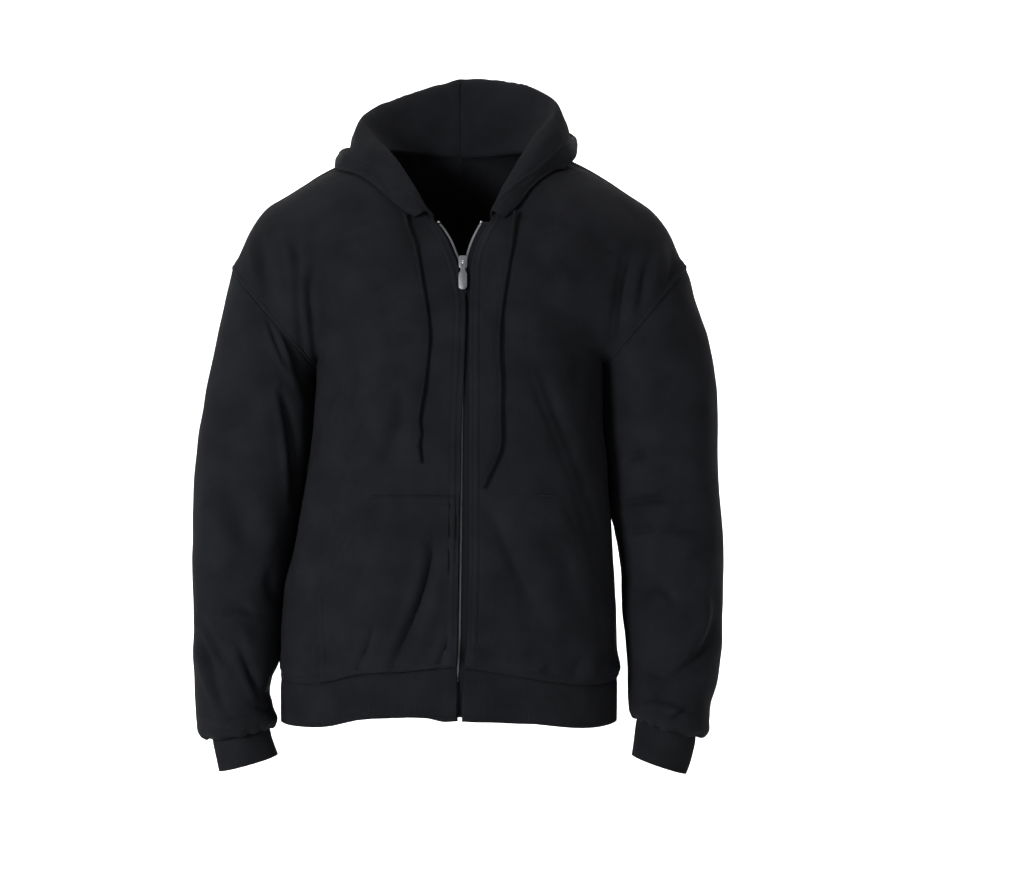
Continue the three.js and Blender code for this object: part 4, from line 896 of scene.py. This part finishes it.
def makeTape(side, word):
    rows = []
    for z in np.linspace(-664, -67, tapes["rows"] + 1):
        spot = zipAt(z)
        first = spot["middle"] + side * (spot["spread"] + chain["wide"] / 2 - 0.6)
        y = centreY(z, -1) + chain["behind"]
        steps = np.linspace(0, tapes["wide"], tapes["columns"] + 1)
        rows.append([[first + side * step, y + step * tapes["lean"], z] for step in steps])
    points = np.array(rows)
    points[:, 0, 1] -= tapes["corded"]  # the edge that the teeth grip
    piece = clothPiece(f"zipTape_{word}", [(points, side > 0, 1)], tapes["wall"], tape)
    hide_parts(f"zip_tape_{word}")


def roundedCopy(node, bodyName, width, angle=32):
    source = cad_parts[node]
    bm = bmesh.new()
    bm.from_mesh(source.data)
    bmesh.ops.remove_doubles(bm, verts=bm.verts, dist=1e-6)
    bmesh.ops.dissolve_limit(bm, angle_limit=math.radians(2), verts=bm.verts, edges=bm.edges)
    sharp = [edge for edge in bm.edges if edge.is_manifold and edge.calc_face_angle(0) > math.radians(angle)]
    bmesh.ops.bevel(bm, geom=sharp, offset=width * mm, segments=2, profile=0.5, affect="EDGES", material=-1,
                    clamp_overlap=True)
    piece = finishMesh(f"{node}_finished", bm, metal)
    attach(piece, bodyName)
    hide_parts(node)


cordRoutes = {
    1: [[69.5, -97.5, -55], [67.8, -107, -73], [65, -119, -98], [59.5, -128.8, -131], [52, -134.6, -181],
        [50, -137.4, -222], [52, -139.5, -262], [51.5, -141, -301], [52, -141.4, -335], [45.5, -142.3, -356],
        [37.5, -142.8, -373], [30, -143.1, -389]],
    -1: [[-64, -97, -58], [-58, -110.5, -80], [-50, -120, -101], [-43, -130.8, -141], [-34.5, -135.2, -200],
         [-39, -139.1, -261], [-45.5, -140.3, -303], [-44, -140.7, -324], [-46.5, -141, -340],
         [-43, -141.3, -359]],
}
cord = {"diameter": 4.5, "columns": 16, "step": 1.2, "braid": 0.22, "pitch": 6.0, "knot": 1.3}


def makeCord(side, word, material):
    route = np.array(cordRoutes[side], float)
    line = np.array([smoothRow(route, (len(route) - 1) * i / 300) for i in range(301)])
    length = float(lineRun(line)[-1])
    line = spreadEvenly(line, int(length / cord["step"]))
    ahead = np.gradient(line, axis=0)
    ahead /= np.linalg.norm(ahead, axis=1, keepdims=True)
    across = np.cross(ahead, [0, 1, 0])
    across /= np.linalg.norm(across, axis=1, keepdims=True)
    out = np.cross(across, ahead)
    angles = np.linspace(0, math.tau, cord["columns"], endpoint=False)
    run = np.linspace(0, length, len(line))[:, None]
    weave = [np.sin(run * math.tau / cord["pitch"] + hand * 2 * angles[None]) for hand in (1, -1)]
    radius = cord["diameter"] / 2 + cord["braid"] * np.maximum(*weave)
    if side < 0:
        radius = radius + cord["knot"] * np.exp(-((run - length + 17) / 3.4) ** 2)
    radius = radius * np.clip((length - run) / 3 + 0.25, 0, 1) ** 0.5
    ring = np.cos(angles)[None, :, None] * across[:, None] + np.sin(angles)[None, :, None] * out[:, None]
    bm = clothMesh([(line[:, None] + radius[..., None] * ring, False, 1)], ring=True)
    bmesh.ops.holes_fill(bm, edges=bm.edges, sides=0)
    bmesh.ops.recalc_face_normals(bm, faces=bm.faces)
    piece = finishMesh(f"drawstring_{word}_braid", bm, material)
    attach(piece, "garment")
    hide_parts(f"drawstring_{word}")
    return length


def surfaceOf(grids):
    bm = clothMesh(grids)
    tree = BVHTree.FromBMesh(bm)
    bm.free()
    return tree


makeCamera()
makeStudio()
sides = ((1, "left"), (-1, "right"))
cordCloth = knitMaterial("braidedCottonCord", cordLook)
print("stage: camera, studio, cords", [round(makeCord(side, word, cordCloth)) for side, word in sides])

fleece = knitMaterial("brushedBackFleece", fleeceLook)
ribKnit = knitMaterial("fineRibKnit", ribLook)
thread = threadMaterial()
metal = zipMetal()
tape = tapeMaterial()
panels, trees = {}, {}
for side, word in sides:
    points, armhole = panelGrid(side, -1)
    points = foldPanel(points, armhole, side, -1)
    panels[side] = points, armhole
    grids = [(points, side < 0, side)]
    trees[side] = surfaceOf(grids)
    piece = clothPiece(f"fleeceFront_{word}", grids, body["wall"], fleece)
    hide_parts(f"front_{word}")
halves = {}
for side, _ in sides:
    points, backArmhole = panelGrid(side, 1)
    halves[side] = foldPanel(points, backArmhole, side, 1)
grids = [(halves[side], side > 0, side) for side, _ in sides]
trees[0] = surfaceOf(grids)
piece = clothPiece("fleeceBack", grids, body["wall"], fleece)
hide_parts("back")
print("stage: body panels")

hemPoints = hemGrid()
piece = clothPiece("ribHem", [(hemPoints, True, 1)], rib["wall"], ribKnit)
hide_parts("hem_band")
for side, word in sides:
    points = sleeveGrid(side)
    piece = clothPiece(f"fleeceSleeve_{word}", [(points, side < 0, 1)], sleeve["wall"], fleece,
                       ring=True)
    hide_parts(f"sleeve_{word}")
    points = cuffGrid(side)
    piece = clothPiece(f"ribCuff_{word}", [(points, side < 0, 1)], rib["wall"], ribKnit, ring=True)
    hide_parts(f"cuff_{word}")
    hoodPoints = hoodGrid(side, [trees[side], trees[0]])
    piece = clothPiece(f"fleeceHood_{word}", [(hoodPoints, side < 0, 1)], hood["wall"], fleece)
    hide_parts(f"hood_{word}")
    points, slantRow = pocketGrid(side, trees[side])
    piece = clothPiece(f"fleecePocket_{word}", [(points, side < 0, 1)], pocket["wall"], fleece)
    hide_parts(f"pocket_{word}")
    lines = [insetLine(points, side, "top", d) for d in seams["pocket"]]
    lines += [insetLine(points[:slantRow + 1], side, "right", d) for d in seams["pocket"]]
    lines += [insetLine(points[slantRow:], side, "right", d) for d in seams["slant"]]
    stitchPiece(f"pocketThread_{word}", lines)
    front, armhole = panels[side]
    lines = [insetLine(front[armhole:], side, "right", d) for d in seams["armhole"]]
    lines += [insetLine(front, side, "top", d) for d in seams["neck"]]
    lines += [insetLine(front, side, "bottom", d) for d in seams["hem"]]
    lines += [insetLine(front[:armhole], side, "left", d) for d in seams["zip"]]
    stitchPiece(f"frontThread_{word}", lines)
    lines = [insetLine(hoodPoints, side, "right", d) for d in seams["casing"]]
    stitchPiece(f"hoodThread_{word}", lines)
    makeTape(side, word)
    makeTeeth(side, word)
lines = []
for side, points in halves.items():
    lines += [insetLine(points[backArmhole:], -side, "right", d) for d in seams["armhole"]]
    lines += [insetLine(points, -side, "bottom", d) for d in seams["hem"]]
stitchPiece("backThread", lines)
print("stage: sleeves, ribs, hood, pockets, zip")

for node in ("zip_stop_left", "zip_stop_right", "zip_box"):
    roundedCopy(node, "garment", 0.35)
roundedCopy("slider", "garment", 0.3)
roundedCopy("pull_tab", "pull_tab", 0.3)
print("stage: slider and tab")
